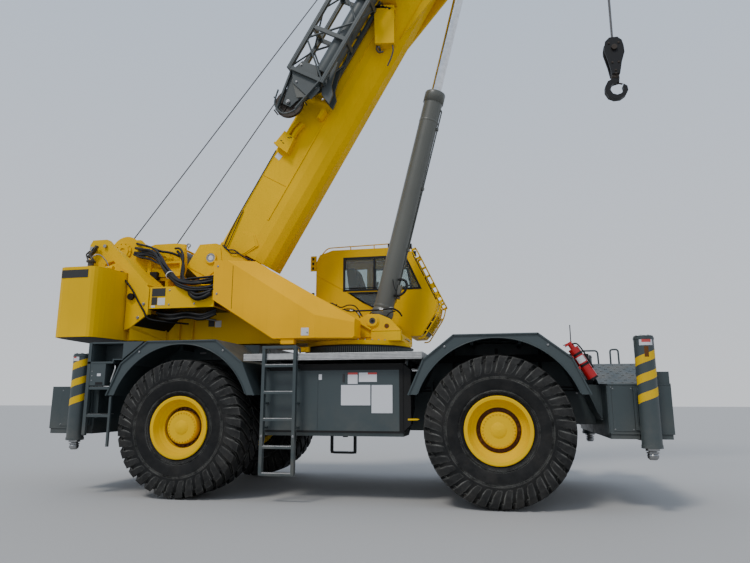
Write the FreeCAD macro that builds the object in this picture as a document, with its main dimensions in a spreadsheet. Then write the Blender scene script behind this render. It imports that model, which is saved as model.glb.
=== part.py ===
import FreeCAD, Part
import math
import os

# Rough-terrain mobile crane: carrier on two steered axles, four box outriggers,
# slewing superstructure with a side cab, and a four-section telescopic boom.
# Millimetres. Origin on the ground under the slewing centre, +X to the front,
# +Y to the crane's left, +Z up.

V = FreeCAD.Vector
doc = FreeCAD.newDocument("mobile_crane")
sheet = doc.addObject("Spreadsheet::Sheet", "Sheet")

DIMS = [
    # alias, value
    ("axle_x", 2030.0),          # axles stand this far in front of and behind the slewing centre
    ("tyre_r", 890.0),
    ("tyre_w", 740.0),
    ("wheel_y", 1250.0),         # centre plane of a wheel
    ("king_y", 950.0),           # steering pivots
    ("rim_barrel_r", 370.0),
    ("rim_flange_r", 400.0),
    ("spindle_r", 100.0),
    ("run_gap", 1.0),            # clearance round a pin or spindle
    ("half_width", 1640.0),      # fenders' outer faces
    ("fender_z", 2014.0),
    ("fender_in", 780.0),
    ("deck_top", 1820.0),
    ("deck_thick", 75.0),
    ("frame_half", 450.0),
    ("frame_top", 1500.0),
    ("frame_bottom", 830.0),
    ("ring_r", 800.0),
    ("ring_top", 1990.0),
    ("turn_bottom", 2000.0),     # underside of the turntable
    ("super_low", 2050.0),       # nothing that slews over the fenders is lower
    ("box_half", 1410.0),        # outrigger boxes' ends
    ("front_jack_x", 3690.0),
    ("rear_jack_x", -3560.0),
    ("beam_w", 210.0),
    ("beam_top", 1330.0),
    ("beam_low", 950.0),
    ("jack_y", 1550.0),
    ("jack_r", 108.0),
    ("jack_rod_r", 74.0),
    ("jack_top", 1945.0),
    ("jack_top_rear", 1850.0),
    ("jack_low", 715.0),
    ("ball_low", 592.0),
    ("pin_x", -2248.0),          # boom foot pin
    ("pin_z", 3400.0),
    ("foot_pin_r", 58.0),
    ("boom_angle", 60.3),
    ("boom_up", 90.0),           # boom's top face above the line through the foot pin
    ("boom_deep", 950.0),
    ("boom_half", 330.0),
    ("wall", 30.0),
    ("base_end", 9600.0),
    ("lug_x", 6450.0),           # lift cylinder's upper pin, along the boom
    ("lug_z", -1020.0),
    ("lug_pin_r", 50.0),
    ("foot_x", 310.0),           # lift cylinder's lower pin
    ("foot_z", 2350.0),
    ("barrel_r", 149.0),
    ("barrel_len", 3815.0),
    ("rod_r", 83.0),
    ("rod_len", 3620.0),
    ("nose_x", 11000.0),          # nose sheaves' pin, along the boom
    ("nose_z", -600.0),
    ("sheave_r", 210.0),
    ("jib_tip_x", 2700.0),
    ("jib_tip_z", 100.0),
    ("jib_sheave_r", 230.0),
    ("plate_in", 440.0),         # turret side plates
    ("plate_out", 500.0),
    ("tail_x", -4130.0),
    ("cw_low", 2095.0),
    ("cw_top", 3090.0),
    ("cab_in", 560.0),
    ("cab_out", 1380.0),
    ("cab_wall", 45.0),
    ("drum_r", 270.0),
    ("block_top", 6651.0),
]


class Q:
    """A size with its value and the sheet expression that gives it."""

    def __init__(self, v, e):
        self.v, self.e = float(v), e

    def _two(self, o, op, v):
        return Q(v, "(%s %s %s)" % (self.e, op, ex(o)))

    def __add__(self, o):
        return self._two(o, "+", self.v + val(o))

    def __sub__(self, o):
        return self._two(o, "-", self.v - val(o))

    def __mul__(self, o):
        return self._two(o, "*", self.v * val(o))

    def __truediv__(self, o):
        return self._two(o, "/", self.v / val(o))

    def __radd__(self, o):
        return Q(val(o) + self.v, "(%s + %s)" % (ex(o), self.e))

    def __rsub__(self, o):
        return Q(val(o) - self.v, "(%s - %s)" % (ex(o), self.e))

    def __rmul__(self, o):
        return Q(val(o) * self.v, "(%s * %s)" % (ex(o), self.e))

    def __neg__(self):
        return Q(-self.v, "(0 - %s)" % self.e)


def val(q):
    return q.v if isinstance(q, Q) else float(q)


def ex(q):
    if isinstance(q, Q):
        return q.e
    return "%.6f" % q if q >= 0 else "(0 - %.6f)" % -q


D = {}
for row, (alias, number) in enumerate(DIMS, start=1):
    sheet.set("A%d" % row, alias)
    sheet.set("B%d" % row, "%g" % number)
    sheet.setAlias("B%d" % row, alias)
    D[alias] = Q(number, "Sheet." + alias)
doc.recompute()


def bind(obj, prop, q):
    if isinstance(q, Q):
        obj.setExpression(prop, q.e)


NORMAL = {"XY": 1, "XZ": -1, "YZ": 1}  # sign of each plane's normal along its axis


class Node:
    """One named piece. Each feature is a sketch on one of its own three planes, padded,
    pocketed or revolved between two positions along that plane's axis."""

    def __init__(self, label, at=(0, 0, 0), turn=None):
        self.body = doc.addObject("PartDesign::Body", label + "_body")
        self.body.Label = label
        self.n = 0
        rot = FreeCAD.Rotation(turn[0], turn[1]) if turn else FreeCAD.Rotation()
        self.body.Placement = FreeCAD.Placement(V(*[val(c) for c in at]), rot)
        for axis, c in zip("xyz", at):
            bind(self.body, "Placement.Base." + axis, c)

    def sketch(self, plane, wires, offset):
        self.n += 1
        sk = self.body.newObject("Sketcher::SketchObject", "%s_s%d" % (self.body.Name, self.n))
        plane_obj = [f for f in self.body.Origin.OriginFeatures if f.Role == plane + "_Plane"][0]
        sk.AttachmentSupport = (plane_obj, [""])
        sk.MapMode = "FlatFace"
        sk.AttachmentOffset = FreeCAD.Placement(V(0, 0, val(offset)), FreeCAD.Rotation())
        bind(sk, "AttachmentOffset.Base.z", offset)
        for wire in wires:
            if wire[0] == "circle":
                self.circle(sk, *wire[1:])
            else:
                self.polygon(sk, wire)
        return sk

    @staticmethod
    def fix(sk, geo, point, x, y):
        for kind, number, q in (("DistanceX", -2, x), ("DistanceY", -1, y)):
            if not isinstance(q, Q) and abs(q) < 1e-9:
                sk.addConstraint(Sk.Constraint("PointOnObject", geo, point, number))
                continue
            i = sk.addConstraint(Sk.Constraint(kind, -1, 1, geo, point, val(q)))
            bind(sk, "Constraints[%d]" % i, q)

    def circle(self, sk, x, y, r):
        g = sk.addGeometry(Part.Circle(V(val(x), val(y), 0), V(0, 0, 1), val(r)))
        i = sk.addConstraint(Sk.Constraint("Radius", g, val(r)))
        bind(sk, "Constraints[%d]" % i, r)
        self.fix(sk, g, 3, x, y)

    def polygon(self, sk, pts):
        n = len(pts)
        first = None
        for k in range(n):
            a, b = pts[k], pts[(k + 1) % n]
            g = sk.addGeometry(Part.LineSegment(V(val(a[0]), val(a[1]), 0), V(val(b[0]), val(b[1]), 0)))
            first = g if first is None else first
        for k in range(n):
            sk.addConstraint(Sk.Constraint("Coincident", first + k, 2, first + (k + 1) % n, 1))
        for k in range(n):
            self.fix(sk, first + k, 1, pts[k][0], pts[k][1])

    def pad(self, plane, wires, lo, hi):
        """Add material from lo to hi along the plane's axis."""
        sk = self.sketch(plane, wires, lo if NORMAL[plane] > 0 else 0 - hi)
        f = self.body.newObject("PartDesign::Pad", "%s_p%d" % (self.body.Name, self.n))
        f.Profile = sk
        f.Length = val(hi) - val(lo)
        if isinstance(hi, Q) or isinstance(lo, Q):
            bind(f, "Length", hi - lo)
        self.tip = f
        return self

    def cut(self, plane, wires, lo, hi):
        """Remove material from lo to hi along the plane's axis."""
        sk = self.sketch(plane, wires, hi if NORMAL[plane] > 0 else 0 - lo)
        f = self.body.newObject("PartDesign::Pocket", "%s_c%d" % (self.body.Name, self.n))
        f.Profile = sk
        f.Length = val(hi) - val(lo)
        if isinstance(hi, Q) or isinstance(lo, Q):
            bind(f, "Length", hi - lo)
        return self

    def spin(self, plane, wires, axis="H_Axis", groove=False):
        """Revolve a section about one of its sketch's own axes."""
        sk = self.sketch(plane, wires, 0)
        kind = "PartDesign::Groove" if groove else "PartDesign::Revolution"
        f = self.body.newObject(kind, "%s_r%d" % (self.body.Name, self.n))
        f.Profile = sk
        f.ReferenceAxis = (sk, [axis])
        f.Angle = 360
        return self

    def box(self, x0, x1, y0, y1, z0, z1):
        return self.pad("XY", [rect(x0, x1, y0, y1)], z0, z1)

    def hole(self, x0, x1, y0, y1, z0, z1):
        return self.cut("XY", [rect(x0, x1, y0, y1)], z0, z1)


import Sketcher as Sk  # noqa: E402  (after the document's own modules)


def rect(x0, x1, y0, y1):
    return [(x0, y0), (x1, y0), (x1, y1), (x0, y1)]


def ring_pts(cx, cy, r, n, start=0.0, end=360.0):
    """Points on an arc, evenly spaced, for a many-sided outline."""
    return [(cx + r * math.cos(math.radians(start + (end - start) * i / n)),
             cy + r * math.sin(math.radians(start + (end - start) * i / n)))
            for i in range(n + (0 if end - start == 360 else 1))]


NODES = []


def keep(node):
    NODES.append(node.body if isinstance(node, Node) else node)
    return node


def group(label, parts):
    """Like pieces that share a node and don't touch."""
    g = doc.addObject("Part::Compound", label + "_set")
    g.Label = label
    g.Links = [p.body if isinstance(p, Node) else p for p in parts]
    NODES.append(g)
    return g


def mirrored(node, label, normal):
    m = doc.addObject("Part::Mirroring", label)
    m.Label = label
    m.Source = node.body if isinstance(node, Node) else node
    m.Base = V(0, 0, 0)
    m.Normal = V(*normal)
    return m


# ------------------------------------------------------------------ carrier frame
fh, ft, fb = D["frame_half"], D["frame_top"], D["frame_bottom"]
frame = Node("carrier_frame")
for side in (-1, 1):
    a, b = (fh - 60, fh) if side > 0 else (-fh, 60 - fh)
    # side rail: deep in the middle, stepped up over the axles' differentials
    frame.pad("XZ", [[(-3400, 930), (-2450, 930), (-2350, 1250), (-1700, 1250), (-1600, fb), (1600, fb),
                      (1700, 1250), (2350, 1250), (2450, 930), (3270, 930), (3270, ft), (-3400, ft)]], a, b)
# cross-members, x from .. to, z from .. to
for x0, x1, z0, z1 in ((-3400, -3340, 930, 1500), (-1500, -1440, 830, 1500), (1440, 1500, 830, 1500),
                       (3210, 3270, 930, 1500), (-900, 900, 830, 870), (-3340, 3210, 1440, 1500)):
    if (x1 - x0) > 2000:
        # top plate, open over the engine
        frame.box(-1500, x1, -fh + 60, fh - 60, z0, z1)
    else:
        frame.box(x0, x1, -fh + 60, fh - 60, z0, z1)
for x, z in ((-1470, 1310), (1470, 1010)):
    frame.cut("YZ", [("circle", 0, z, 62.0)], x - 40, x + 40)
# pedestal that carries the slewing ring
frame.pad("XY", [("circle", 0, 0, 720.0)], 1499.0, D["deck_top"] - 100)
keep(frame)

# ------------------------------------------------------------------ outrigger boxes
# name, jack x of the right beam, jack x of the left beam, box from, box to
BOXES = [("front", D["front_jack_x"], D["front_jack_x"] - 250, 3272.0, 3972.0),
         ("rear", D["rear_jack_x"], D["rear_jack_x"] - 250, -4085.0, -3402.0)]
bh = D["box_half"]
bw2 = D["beam_w"] / 2
for name, xr, xl, x0, x1 in BOXES:
    n = Node(name + "_outrigger_box")
    n.box(x0, x1, -bh, bh, 855, 1425)
    for x in (xr, xl):
        n.cut("XZ", [rect(x - bw2 - 8, x + bw2 + 8, D["beam_low"] - 8, D["beam_top"] + 8)], -bh - 10, bh + 10)
    # tow and tie-down eyes
    s = 1 if x0 > 0 else -1
    face = x1 if s > 0 else x0
    for y in (-420, 420):
        if s > 0:
            n.pad("XZ", [[(face - 20, 930), (face + 60, 930), (face + 130, 1010), (face + 158, 1100), (face + 130, 1190),
                          (face + 60, 1270), (face - 20, 1270)]], y - 20, y + 20)
        else:
            n.pad("XZ", [[(face + 20, 1000), (face - 45, 1060), (face - 45, 1150), (face + 20, 1210)]], y - 20, y + 20)
    if s > 0:
        n.cut("XZ", [("circle", face + 85.0, 1100.0, 35.0)], -500, 500)
        # sloped apron towards the wheel
        for lo, hi in ((-0.72 * bh, 0 - 455), (455, 0.72 * bh)):
            n.pad("XZ", [[(x0 + 1, 1000), (x0 + 1, 1424), (x0 - 190, 1424), (x0 - 60, 1100)]], lo, hi)
        # sloped walkway cover on two ribs
        n.pad("YZ", [[(-1410, 1424), (-770, 1690), (770, 1690), (1410, 1424), (1372, 1424), (767, 1674), (-767, 1674), (-1372, 1424)]],
              3192, 3760)
        for x in (3290, 3640):
            n.pad("YZ", [[(-1372, 1424), (-767, 1675), (767, 1675), (1372, 1424)]], x, x + 14)
    keep(n)

# ------------------------------------------------------------------ deck
dt, dth = D["deck_top"], D["deck_thick"]
deck = Node("deck")
deck.pad("XY", [[(-1155, -1610), (1155, -1610), (1155, -770), (3190, -770), (3190, 770), (1155, 770), (1155, 1610),
                 (-1155, 1610), (-1155, 770), (-1270, 770), (-1270, -770), (-1155, -770)]], dt - dth, dt)
deck.cut("XY", [("circle", 0, 0, 802.0)], dt - dth - 5, dt + 5)
# brackets down to the frame
for y in (-1, 1):
    a, b = (451, 1000) if y > 0 else (-1000, -451)
    for x in (-880, 860):
        deck.box(x - 15, x + 15, a, b, 1692, dt - dth + 1)
# front cover between the deck and the outrigger box
deck.box(2700, 3180, -450, 450, 1502, dt - dth + 1)
keep(deck)

# ------------------------------------------------------------------ fenders: half outline from the wheel's centre, (x, z)
HALF = [(1055, 1300), (868, 1722), (495, D["fender_z"])]
for name, sx in (("front", 1), ("rear", -1)):
    pieces = []
    for side, tag in ((-1, "right"), (1, "left")):
        f = Node("%s_fender_%s" % (name, tag), at=(sx * D["axle_x"], 0, 0))
        hw, fi = D["half_width"], D["fender_in"]
        lo, hi = (-hw, -fi) if side < 0 else (fi, hw)
        outer = [(x, z) for x, z in HALF] + [(-x, z) for x, z in HALF[::-1]]
        inner = [(-1037, 1300), (-854, 1709), (-489, D["fender_z"] - 16), (489, D["fender_z"] - 16), (854, 1709), (1037, 1300)]
        f.pad("XZ", [outer + inner], lo, hi)
        # outer side plate with its round cut
        a, b = (-hw, 16 - hw) if side < 0 else (hw - 16, hw)
        f.pad("XZ", [outer], a, b)
        f.cut("XZ", [("circle", 0, 975.0, 995.0)], a - 5, b + 5)
        pieces.append(f)
    group(name + "_fenders", pieces)

# ------------------------------------------------------------------ engine hood, engine, drive line
hood = Node("engine_hood")
hood.box(-3330, -1290, -500, 500, 1502, 1812)
hood.box(-3330, -1290, -772, 772, 1811, 2012)
hood.hole(-3300, -1320, -470, 470, 1490, 1985)
# louvre slots in the top
for i in range(6):
    hood.hole(-3100 + i * 130, -3040 + i * 130, -380, 380, 1980, 2020)
keep(hood)
engine = Node("engine_block")
engine.box(-3250, -2420, -330, 330, 1060, 1900)
keep(engine)
drive = Node("drive_line")
drive.box(-1250, -620, -260, 260, 900, 1380)
for x0, x1 in ((-2410, -1245), (-625, 1700)):
    drive.pad("YZ", [("circle", 0, 1010 if x0 > -700 else 1310, 50.0)], x0, x1)
keep(drive)

# ------------------------------------------------------------------ side tanks
tanks = []
for side, tag in ((-1, "right"), (1, "left")):
    t = Node("side_tank_" + tag)
    prof = [(-1470, 850), (-1455, 800), (-1000, 800), (-560, 1050), (-560, 1480), (-740, 1480), (-740, 1690), (-1470, 1690)]
    prof = [(y * -side, z) for y, z in prof]
    t.pad("YZ", [prof if side < 0 else prof[::-1]], -905, 895)
    t.box(-905, 895, *((-561, -452) if side < 0 else (452, 561)), 1100, 1300)
    tanks.append(t)
group("side_tanks", tanks)

# ------------------------------------------------------------------ ladders and rear steps
ladders = []
for side, tag in ((-1, "right"), (1, "left")):
    t = Node("ladder_" + tag)
    s = side
    lo, hi = (-1655, -1612) if s < 0 else (1612, 1655)
    for x in (-885, -470):
        t.pad("YZ", [[(s * 1612, 330), (s * 1655, 330), (s * 1655, 1905), (s * 1612, 1905)][::1 if s > 0 else -1]], x, x + 40)
    for z in (344, 663, 996, 1327, 1661):
        t.box(-846, -469, lo, hi, z - 14, z + 14)
    ladders.append(t)
group("side_ladders", ladders)

steps = []
for side, tag in ((-1, "right"), (1, "left")):
    s = side
    t = Node("rear_step_" + tag)
    a, b = (-1640, -1330) if s < 0 else (1330, 1640)
    # side wall of the steps with its upper opening, then treads
    t.box(-3395, -3350, *((-1640, -1600) if s < 0 else (1600, 1640)), 780, 2005)
    t.box(-3351, -3010, a, b, 1725, 1745)
    t.box(-3351, -3120, a, b, 1430, 1715)
    t.box(-3351, -3120, a, b, 1714, 1726)
    c, d = (-1640, -1610) if s < 0 else (1610, 1640)
    for z, front in ((1395, -3060), (1035, -3000)):
        t.box(-3351, -3115, a, b, z - 18, z + 18)
        t.box(-3116, front, c, d, z - 18, z + 18)
    t.box(-3030, -3000, c, d, 640, 1285)
    t.box(-3395, -3350, a, b, 1396, 1746)
    t.box(-3400, -3350, *((-1410, -1331) if s < 0 else (1331, 1410)), 1000, 1400)
    # open locker above the steps, with the gore plate that closes up to the fender
    t.box(-3351, -2872, a, b, 1990, 2010)
    t.box(-3351, -2872, *((-1345, -1331) if s < 0 else (1331, 1345)), 1744, 1991)
    t.box(-2880, -2872, a, b, 1768, 1991)
    t.box(-3011, -2872, a, b, 1768, 1782)
    t.box(-3024, -3008, a, b, 1744, 1784)
    t.pad("XZ", [[(-2874, 1782), (-2874, 2010), (-2577, 2010)]], *((-1640, -1624) if s < 0 else (1624, 1640)))
    steps.append(t)
group("rear_steps", steps)

# ------------------------------------------------------------------ slewing ring
ring = Node("slewing_ring")
ring.pad("XY", [("circle", 0, 0, 800.0), ("circle", 0, 0, 560.0)], dt - 99, D["ring_top"])
for z in (1880, 1930):
    ring.cut("XY", [("circle", 0, 0, 805.0), ("circle", 0, 0, 780.0)], z, z + 20)
keep(ring)

# ------------------------------------------------------------------ axles
ky = D["king_y"]
tr = D["tyre_r"]
for name, sx in (("front", 1), ("rear", -1)):
    a = Node(name + "_axle", at=(sx * D["axle_x"], 0, tr))
    a.spin("YZ", [[(-790, 0), (-790, 125), (-380, 135), (-300, 230), (-120, 300), (120, 300), (300, 230), (380, 135),
                   (790, 125), (790, 0)]])
    for s in (-1, 1):
        lo, hi = ((ky - 215), (ky + 75)) if s > 0 else (-ky - 75, 215 - ky)
        # yoke arms above and below the steering pivot
        for z0 in (150, -205):
            a.box(-95, 95, lo, hi, z0, z0 + 55)
        lo, hi = ((ky - 230), (ky - 170)) if s > 0 else (170 - ky, 230 - ky)
        a.box(-120, 120, lo, hi, -205, 205)
        a.cut("XY", [("circle", 0, ky if s > 0 else -ky, 46.0)], -210, 210)
    # mounting pads up to the frame
    for s in (-1, 1):
        a.box(-150, 150, *((fh - 60, fh) if s > 0 else (-fh, 60 - fh)), 60, 1250.0 - 890.0)
    keep(a)

# ------------------------------------------------------------------ knuckles, rims, tyres
wy = D["wheel_y"]
for name, sx in (("front", 1), ("rear", -1)):
    for side, tag in ((-1, "right"), (1, "left")):
        s = side
        at = (sx * D["axle_x"], s * ky, tr)
        k = Node("knuckle_%s_%s" % (name, tag), at=at)
        k.pad("XY", [("circle", 0, 0, 112.0)], -143, 143)
        k.pad("XY", [("circle", 0, 0, 45.0)], -204, 204)
        # spindle and its flange
        w0 = 60.0
        lo, hi = (w0, 400.0) if s > 0 else (-400.0, -w0)
        k.pad("XZ", [("circle", 0, 0, D["spindle_r"])], lo, hi)
        lo, hi = (w0, 150.0) if s > 0 else (-150.0, -w0)
        k.pad("XZ", [("circle", 0, 0, 138.0)], lo, hi)
        # steering arm
        k.box(-210 if sx > 0 else 100, -100 if sx > 0 else 210, -45, 45, -110, -60)
        keep(k)
        at = (sx * D["axle_x"], s * wy, tr)
        r = Node("rim_%s_%s" % (name, tag), at=at)
        br, fr = D["rim_barrel_r"], D["rim_flange_r"]
        # section from the inner edge to the outer one, (y, radius); y grows outwards
        sec = [(-338, 340), (-338, fr), (-316, fr), (-300, br), (300, br), (316, fr), (342, fr), (346, 388), (342, 356),
               (300, 340), (262, 322), (222, 285), (212, 264), (150, 262), (150, 213), (236, 211), (250, 200), (254, 62),
               (266, 45), (268, 0), (105, 0), (105, 101), (80, 101), (80, 150), (120, 160), (120, 300), (150, 340)]
        r.spin("YZ", [[(y * s, z) for y, z in sec][::1 if s > 0 else -1]])
        # wheel studs in a ring
        for i in range(12):
            ang = 2 * math.pi * i / 12
            lo, hi = (149.0, 174.0) if s > 0 else (-174.0, -149.0)
            r.pad("XZ", [("circle", 238 * math.cos(ang), 238 * math.sin(ang), 13.0)], lo, hi)
        keep(r)
        t = Node("tyre_%s_%s" % (name, tag), at=at)
        tw = D["tyre_w"]
        t.spin("YZ", [[(-298, br + 1), (-316, 420), (-350, 520), (-tw / 2, 640), (-365, 760), (-330, 838), (-280, 872),
                       (-190, tr - 4), (0, tr), (190, tr - 4), (280, 872), (330, 838), (365, 760), (tw / 2, 640),
                       (350, 520), (316, 420), (298, br + 1)]])
        keep(t)

# ------------------------------------------------------------------ outrigger beams and jacks
for name, xr, xl, x0, x1 in BOXES:
    for side, tag in ((-1, "right"), (1, "left")):
        s = side
        x = xr if s < 0 else xl
        b = Node("beam_%s_%s" % (name, tag), at=(x, 0, 0))
        lo, hi = (-1470, 1240) if s < 0 else (-1240, 1470)
        bl, bt = D["beam_low"], D["beam_top"]
        b.pad("XZ", [rect(-bw2, bw2, bl, bt)], lo, hi)
        b.cut("XZ", [rect(-bw2 + 14, bw2 - 14, bl + 14, bt - 14)], lo - 5 if s > 0 else lo + 60, hi - 60 if s > 0 else hi + 5)
        jt = D["jack_top"] if name == "front" else D["jack_top_rear"]
        b.pad("XY", [("circle", 0, s * D["jack_y"], D["jack_r"])], D["jack_low"], jt)
        b.cut("XY", [("circle", 0, s * D["jack_y"], D["jack_rod_r"] + 4)], D["jack_low"] - 5, jt - 30)
        keep(b)
        j = Node("jack_%s_%s" % (name, tag), at=(x, s * D["jack_y"], 0))
        j.pad("XY", [("circle", 0, 0, D["jack_rod_r"])], 690, jt - 45)
        j.spin("XZ", [[(0, D["ball_low"]), (38, D["ball_low"]), (58, 612), (62, 640), (50, 668), (44, 691), (0, 691)]], axis="V_Axis")
        keep(j)

# ------------------------------------------------------------------ fire extinguisher on the front fender's slope
ext = Node("fire_extinguisher", at=(3006, -1545, 1675), turn=(V(0, 1, 0), -30.0))
ext.pad("XY", [("circle", 0, 0, 62.0)], -230, 180)
ext.pad("XY", [("circle", 0, 0, 30.0)], 179, 240)
ext.box(-60, 20, -18, 18, 235, 262)
ext.box(-82, -55, -60, 60, -60, -30)
ext.box(-69, -55, -60, 60, 80, 110)
keep(ext)

# ------------------------------------------------------------------ turret
px, pz = D["pin_x"], D["pin_z"]
po, pi = D["plate_out"], D["plate_in"]
tb = D["turn_bottom"]
tur = Node("turret_frame")
tur.pad("XY", [("circle", 0, 0, 780.0)], tb, tb + 61)
tur.pad("XY", [[(-3050, -po), (730, -po), (730, po), (-3050, po)]], 2060, 2105)
# side plate outline, (x, z)
plate = [(725, 2060), (725, 2205), (560, 2380), (400, 2450), (240, 2455), (120, 2400), (-1200, 3080), (-1590, 3340), (-2060, 3590),
         (px + 60, pz + 235), (px - 210, pz + 230), (px - 417, pz - 119), (-2400, 3050), (-2400, 2780), (-3050, 2780), (-3050, 2060)]
for s in (-1, 1):
    lo, hi = (pi, po) if s > 0 else (-po, -pi)
    tur.pad("XZ", [plate], lo, hi)
    # pin bosses on the outer faces
    lo, hi = (po - 1, po + 25) if s > 0 else (-po - 25, 1 - po)
    tur.pad("XZ", [("circle", px, pz, 95.0)], lo, hi)
    tur.pad("XZ", [("circle", D["foot_x"], D["foot_z"], 95.0)], lo, hi)
# front and rear cross walls
tur.box(655, 725, -pi - 1, pi + 1, 2104, 2165)
tur.box(-3050, -3000, -pi - 1, pi + 1, 2104, 3090)
# boom foot pin
tur.pad("XZ", [("circle", px, pz, D["foot_pin_r"])], -po - 5, po + 5)
# open side beams between the counterweight's arms and the housings
for s, front in ((-1, -1896), (1, -2306)):
    beam = [(499, 2545), (1050, 2545), (1050, 2865), (499, 2865), (499, 2845), (1030, 2845), (1030, 2565), (499, 2565)]
    tur.pad("YZ", [[(s * y, z) for y, z in beam][::s]], -2915, front)
keep(tur)

# right side housing: outline seen from the side, (x, z)
sh = Node("side_housing")
HOUSING = [(-1890, 2640), (-970, 2066), (130, 2066), (158, 2094), (158, 2335), (-1230, 3145), (-1300, 3195), (-1890, 3205)]
sh.pad("XZ", [HOUSING], -1105.0, -620.0)
sh.pad("XZ", [[(-1500, 2500), (-600, 2150), (-300, 2150), (-300, 2400), (-1500, 2900)]], -621.0, -502.0)
# the front corner is folded inwards
sh.cut("XY", [[(-405, -1112), (175, -1112), (175, -985), (158, -985), (150, -990)]], 2000, 3300)
# the band above the crease leans inwards
crease = Node("housing_fold", at=(-1659, 0, 3178), turn=(V(0, 1, 0), 32.0))
crease.pad("YZ", [[(-1120, -22), (-1120, 620), (-905, 620), (-905, 340)]], -420, 2300)
folded = doc.addObject("Part::Cut", "side_housing_folded")
sh.body.Label = "side_housing_blank"
folded.Base = sh.body
folded.Tool = crease.body
folded.Label = "side_housing"
keep(folded)

lh = Node("left_housing")
lh.pad("XZ", [[(-2300, 2100), (-980, 2100), (-980, 2700), (-1500, 2950), (-2300, 2950)]], 620.0, 1180.0)
lh.box(-1900, -1300, 502, 621, 2200, 2600)
keep(lh)

# ------------------------------------------------------------------ counterweight: plan outline, (x, y)
cl, ct, tx = D["cw_low"], D["cw_top"], D["tail_x"]
HALF_CW = [(tx, 0), (-4118, 500), (-4085, 1000), (-4040, 1400), (-3985, 1590), (-3920, 1620), (-3490, 1620), (-3450, 1604),
           (-3416, 1562), (-3388, 1505), (-3365, 1436), (-3348, 1355), (-3336, 1262), (-3326, 1160), (-3311, 1050), (-3297, 950),
           (-3180, 950)]
outline = [(x, -y) for x, y in HALF_CW[1:]][::-1] + [(x, y) for x, y in HALF_CW]
cw = Node("counterweight")
cw.pad("XY", [outline], cl, ct)
keep(cw)

arms = []
for side, tag in ((-1, "right"), (1, "left")):
    a = Node("cw_arm_" + tag)
    lo, hi = (-1060.0, -960.0) if side < 0 else (960.0, 1060.0)
    a.pad("XZ", [[(-3975, 3092), (-3975, 3560), (-3930, 3630), (-3690, 3630), (-3562, 3494), (-2959, 2884), (-2925, 2850),
                  (-2925, 2465), (-3205, 2266), (-3288, 2240), (-3288, 3094), (-3430, 3190), (-3560, 3290), (-3680, 3250),
                  (-3740, 3092)]], lo, hi)
    a.box(-3060, -2990, *((-961, -501) if side < 0 else (501, 961)), 2500, 2650)
    arms.append(a)
    g = Node("cw_gusset_" + tag, at=(-3562, 0, 3494), turn=(V(0, 1, 0), 45.33))
    pts = [(15, -1058), (850, -1058), (850, -520), (670, -520), (15, -980)]
    g.pad("XY", [pts if side < 0 else [(x, -y) for x, y in pts][::-1]], 0.5, 16)
    arms.append(g)
group("counterweight_arms", arms)

# ------------------------------------------------------------------ hoists
hf = Node("hoist_frames")
hf.box(-4000, -2760, -420, 420, 3092, 3145)
for y in (-400, 360):
    hf.pad("XZ", [[(-4090, 3144), (-2770, 3144), (-2725, 3290), (-2762, 3677), (-2950, 3700), (-3300, 3700), (-3420, 3660), (-3560, 3790),
                 (-3930, 3800), (-4090, 3650)]], y, y + 40)
keep(hf)
for label, x, z in (("aux_drum", -3860.0, 3610.0), ("main_drum", -3110.0, 3440.0)):
    hf.cut("XZ", [("circle", x, z, 62.0)], -430, 430)
    d = Node(label, at=(x, 0, z))
    dr = D["drum_r"]
    d.spin("YZ", [[(-402, 0), (-402, 60), (-330, 60), (-330, dr - 10), (-300, dr - 10), (-300, 205), (300, 205),
                   (300, dr - 10), (330, dr - 10), (330, 60), (402, 60), (402, 0)]])
    keep(d)

# ------------------------------------------------------------------ cab: side outline, (x, z)
CAB = [(-880, 2330), (520, 2330), (690, 2235), (870, 2240), (1085, 2575), (1130, 2760), (700, 3650), (600, 3700), (-600, 3700),
       (-820, 3630), (-880, 3510)]
CABIN = [(-835, 2380), (535, 2380), (705, 2290), (845, 2290), (1040, 2590), (1078, 2750), (665, 3610), (585, 3652), (-590, 3652),
         (-790, 3590), (-835, 3490)]
ci, co, cwl = D["cab_in"], D["cab_out"], D["cab_wall"]
cab = Node("cab_shell")
cab.pad("XZ", [CAB], ci, co)
cab.cut("XZ", [CABIN], ci + cwl, co - cwl)
# windows: right side ones, (x, z)
cab.cut("XZ", [[(-395, 3010), (300, 3010), (300, 3545), (-395, 3545)]], ci - 10, ci + cwl + 10)
cab.cut("XZ", [[(-330, 2960), (330, 2960), (130, 2700), (-60, 2800)]], ci - 10, ci + cwl + 10)
cab.cut("XZ", [[(400, 3010), (860, 3010), (620, 3540), (400, 3540)]], ci - 10, ci + cwl + 10)
# door opening and window on the left side
cab.cut("XZ", [[(-100, 2400), (560, 2400), (700, 2780), (560, 3560), (-100, 3560)]], co - cwl - 10, co + 10)
cab.cut("XZ", [[(-760, 2950), (-180, 2950), (-180, 3540), (-700, 3540), (-760, 3440)]], co - cwl - 10, co + 10)
# windscreen, lower front pane, rear window, roof window
cab.cut("YZ", [rect(ci + 90, co - 90, 2830, 3560)], 640, 1140)
cab.cut("YZ", [rect(ci + 90, co - 90, 2330, 2560)], 800, 1110)
cab.cut("YZ", [rect(ci + 110, co - 110, 2950, 3430)], -890, -800)
cab.cut("XY", [rect(-380, 420, ci + 120, co - 120)], 3640, 3710)
# mounting to the turret
cab.box(-500, 150, po + 3, ci + 1, 2340, 2560)
keep(cab)

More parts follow.
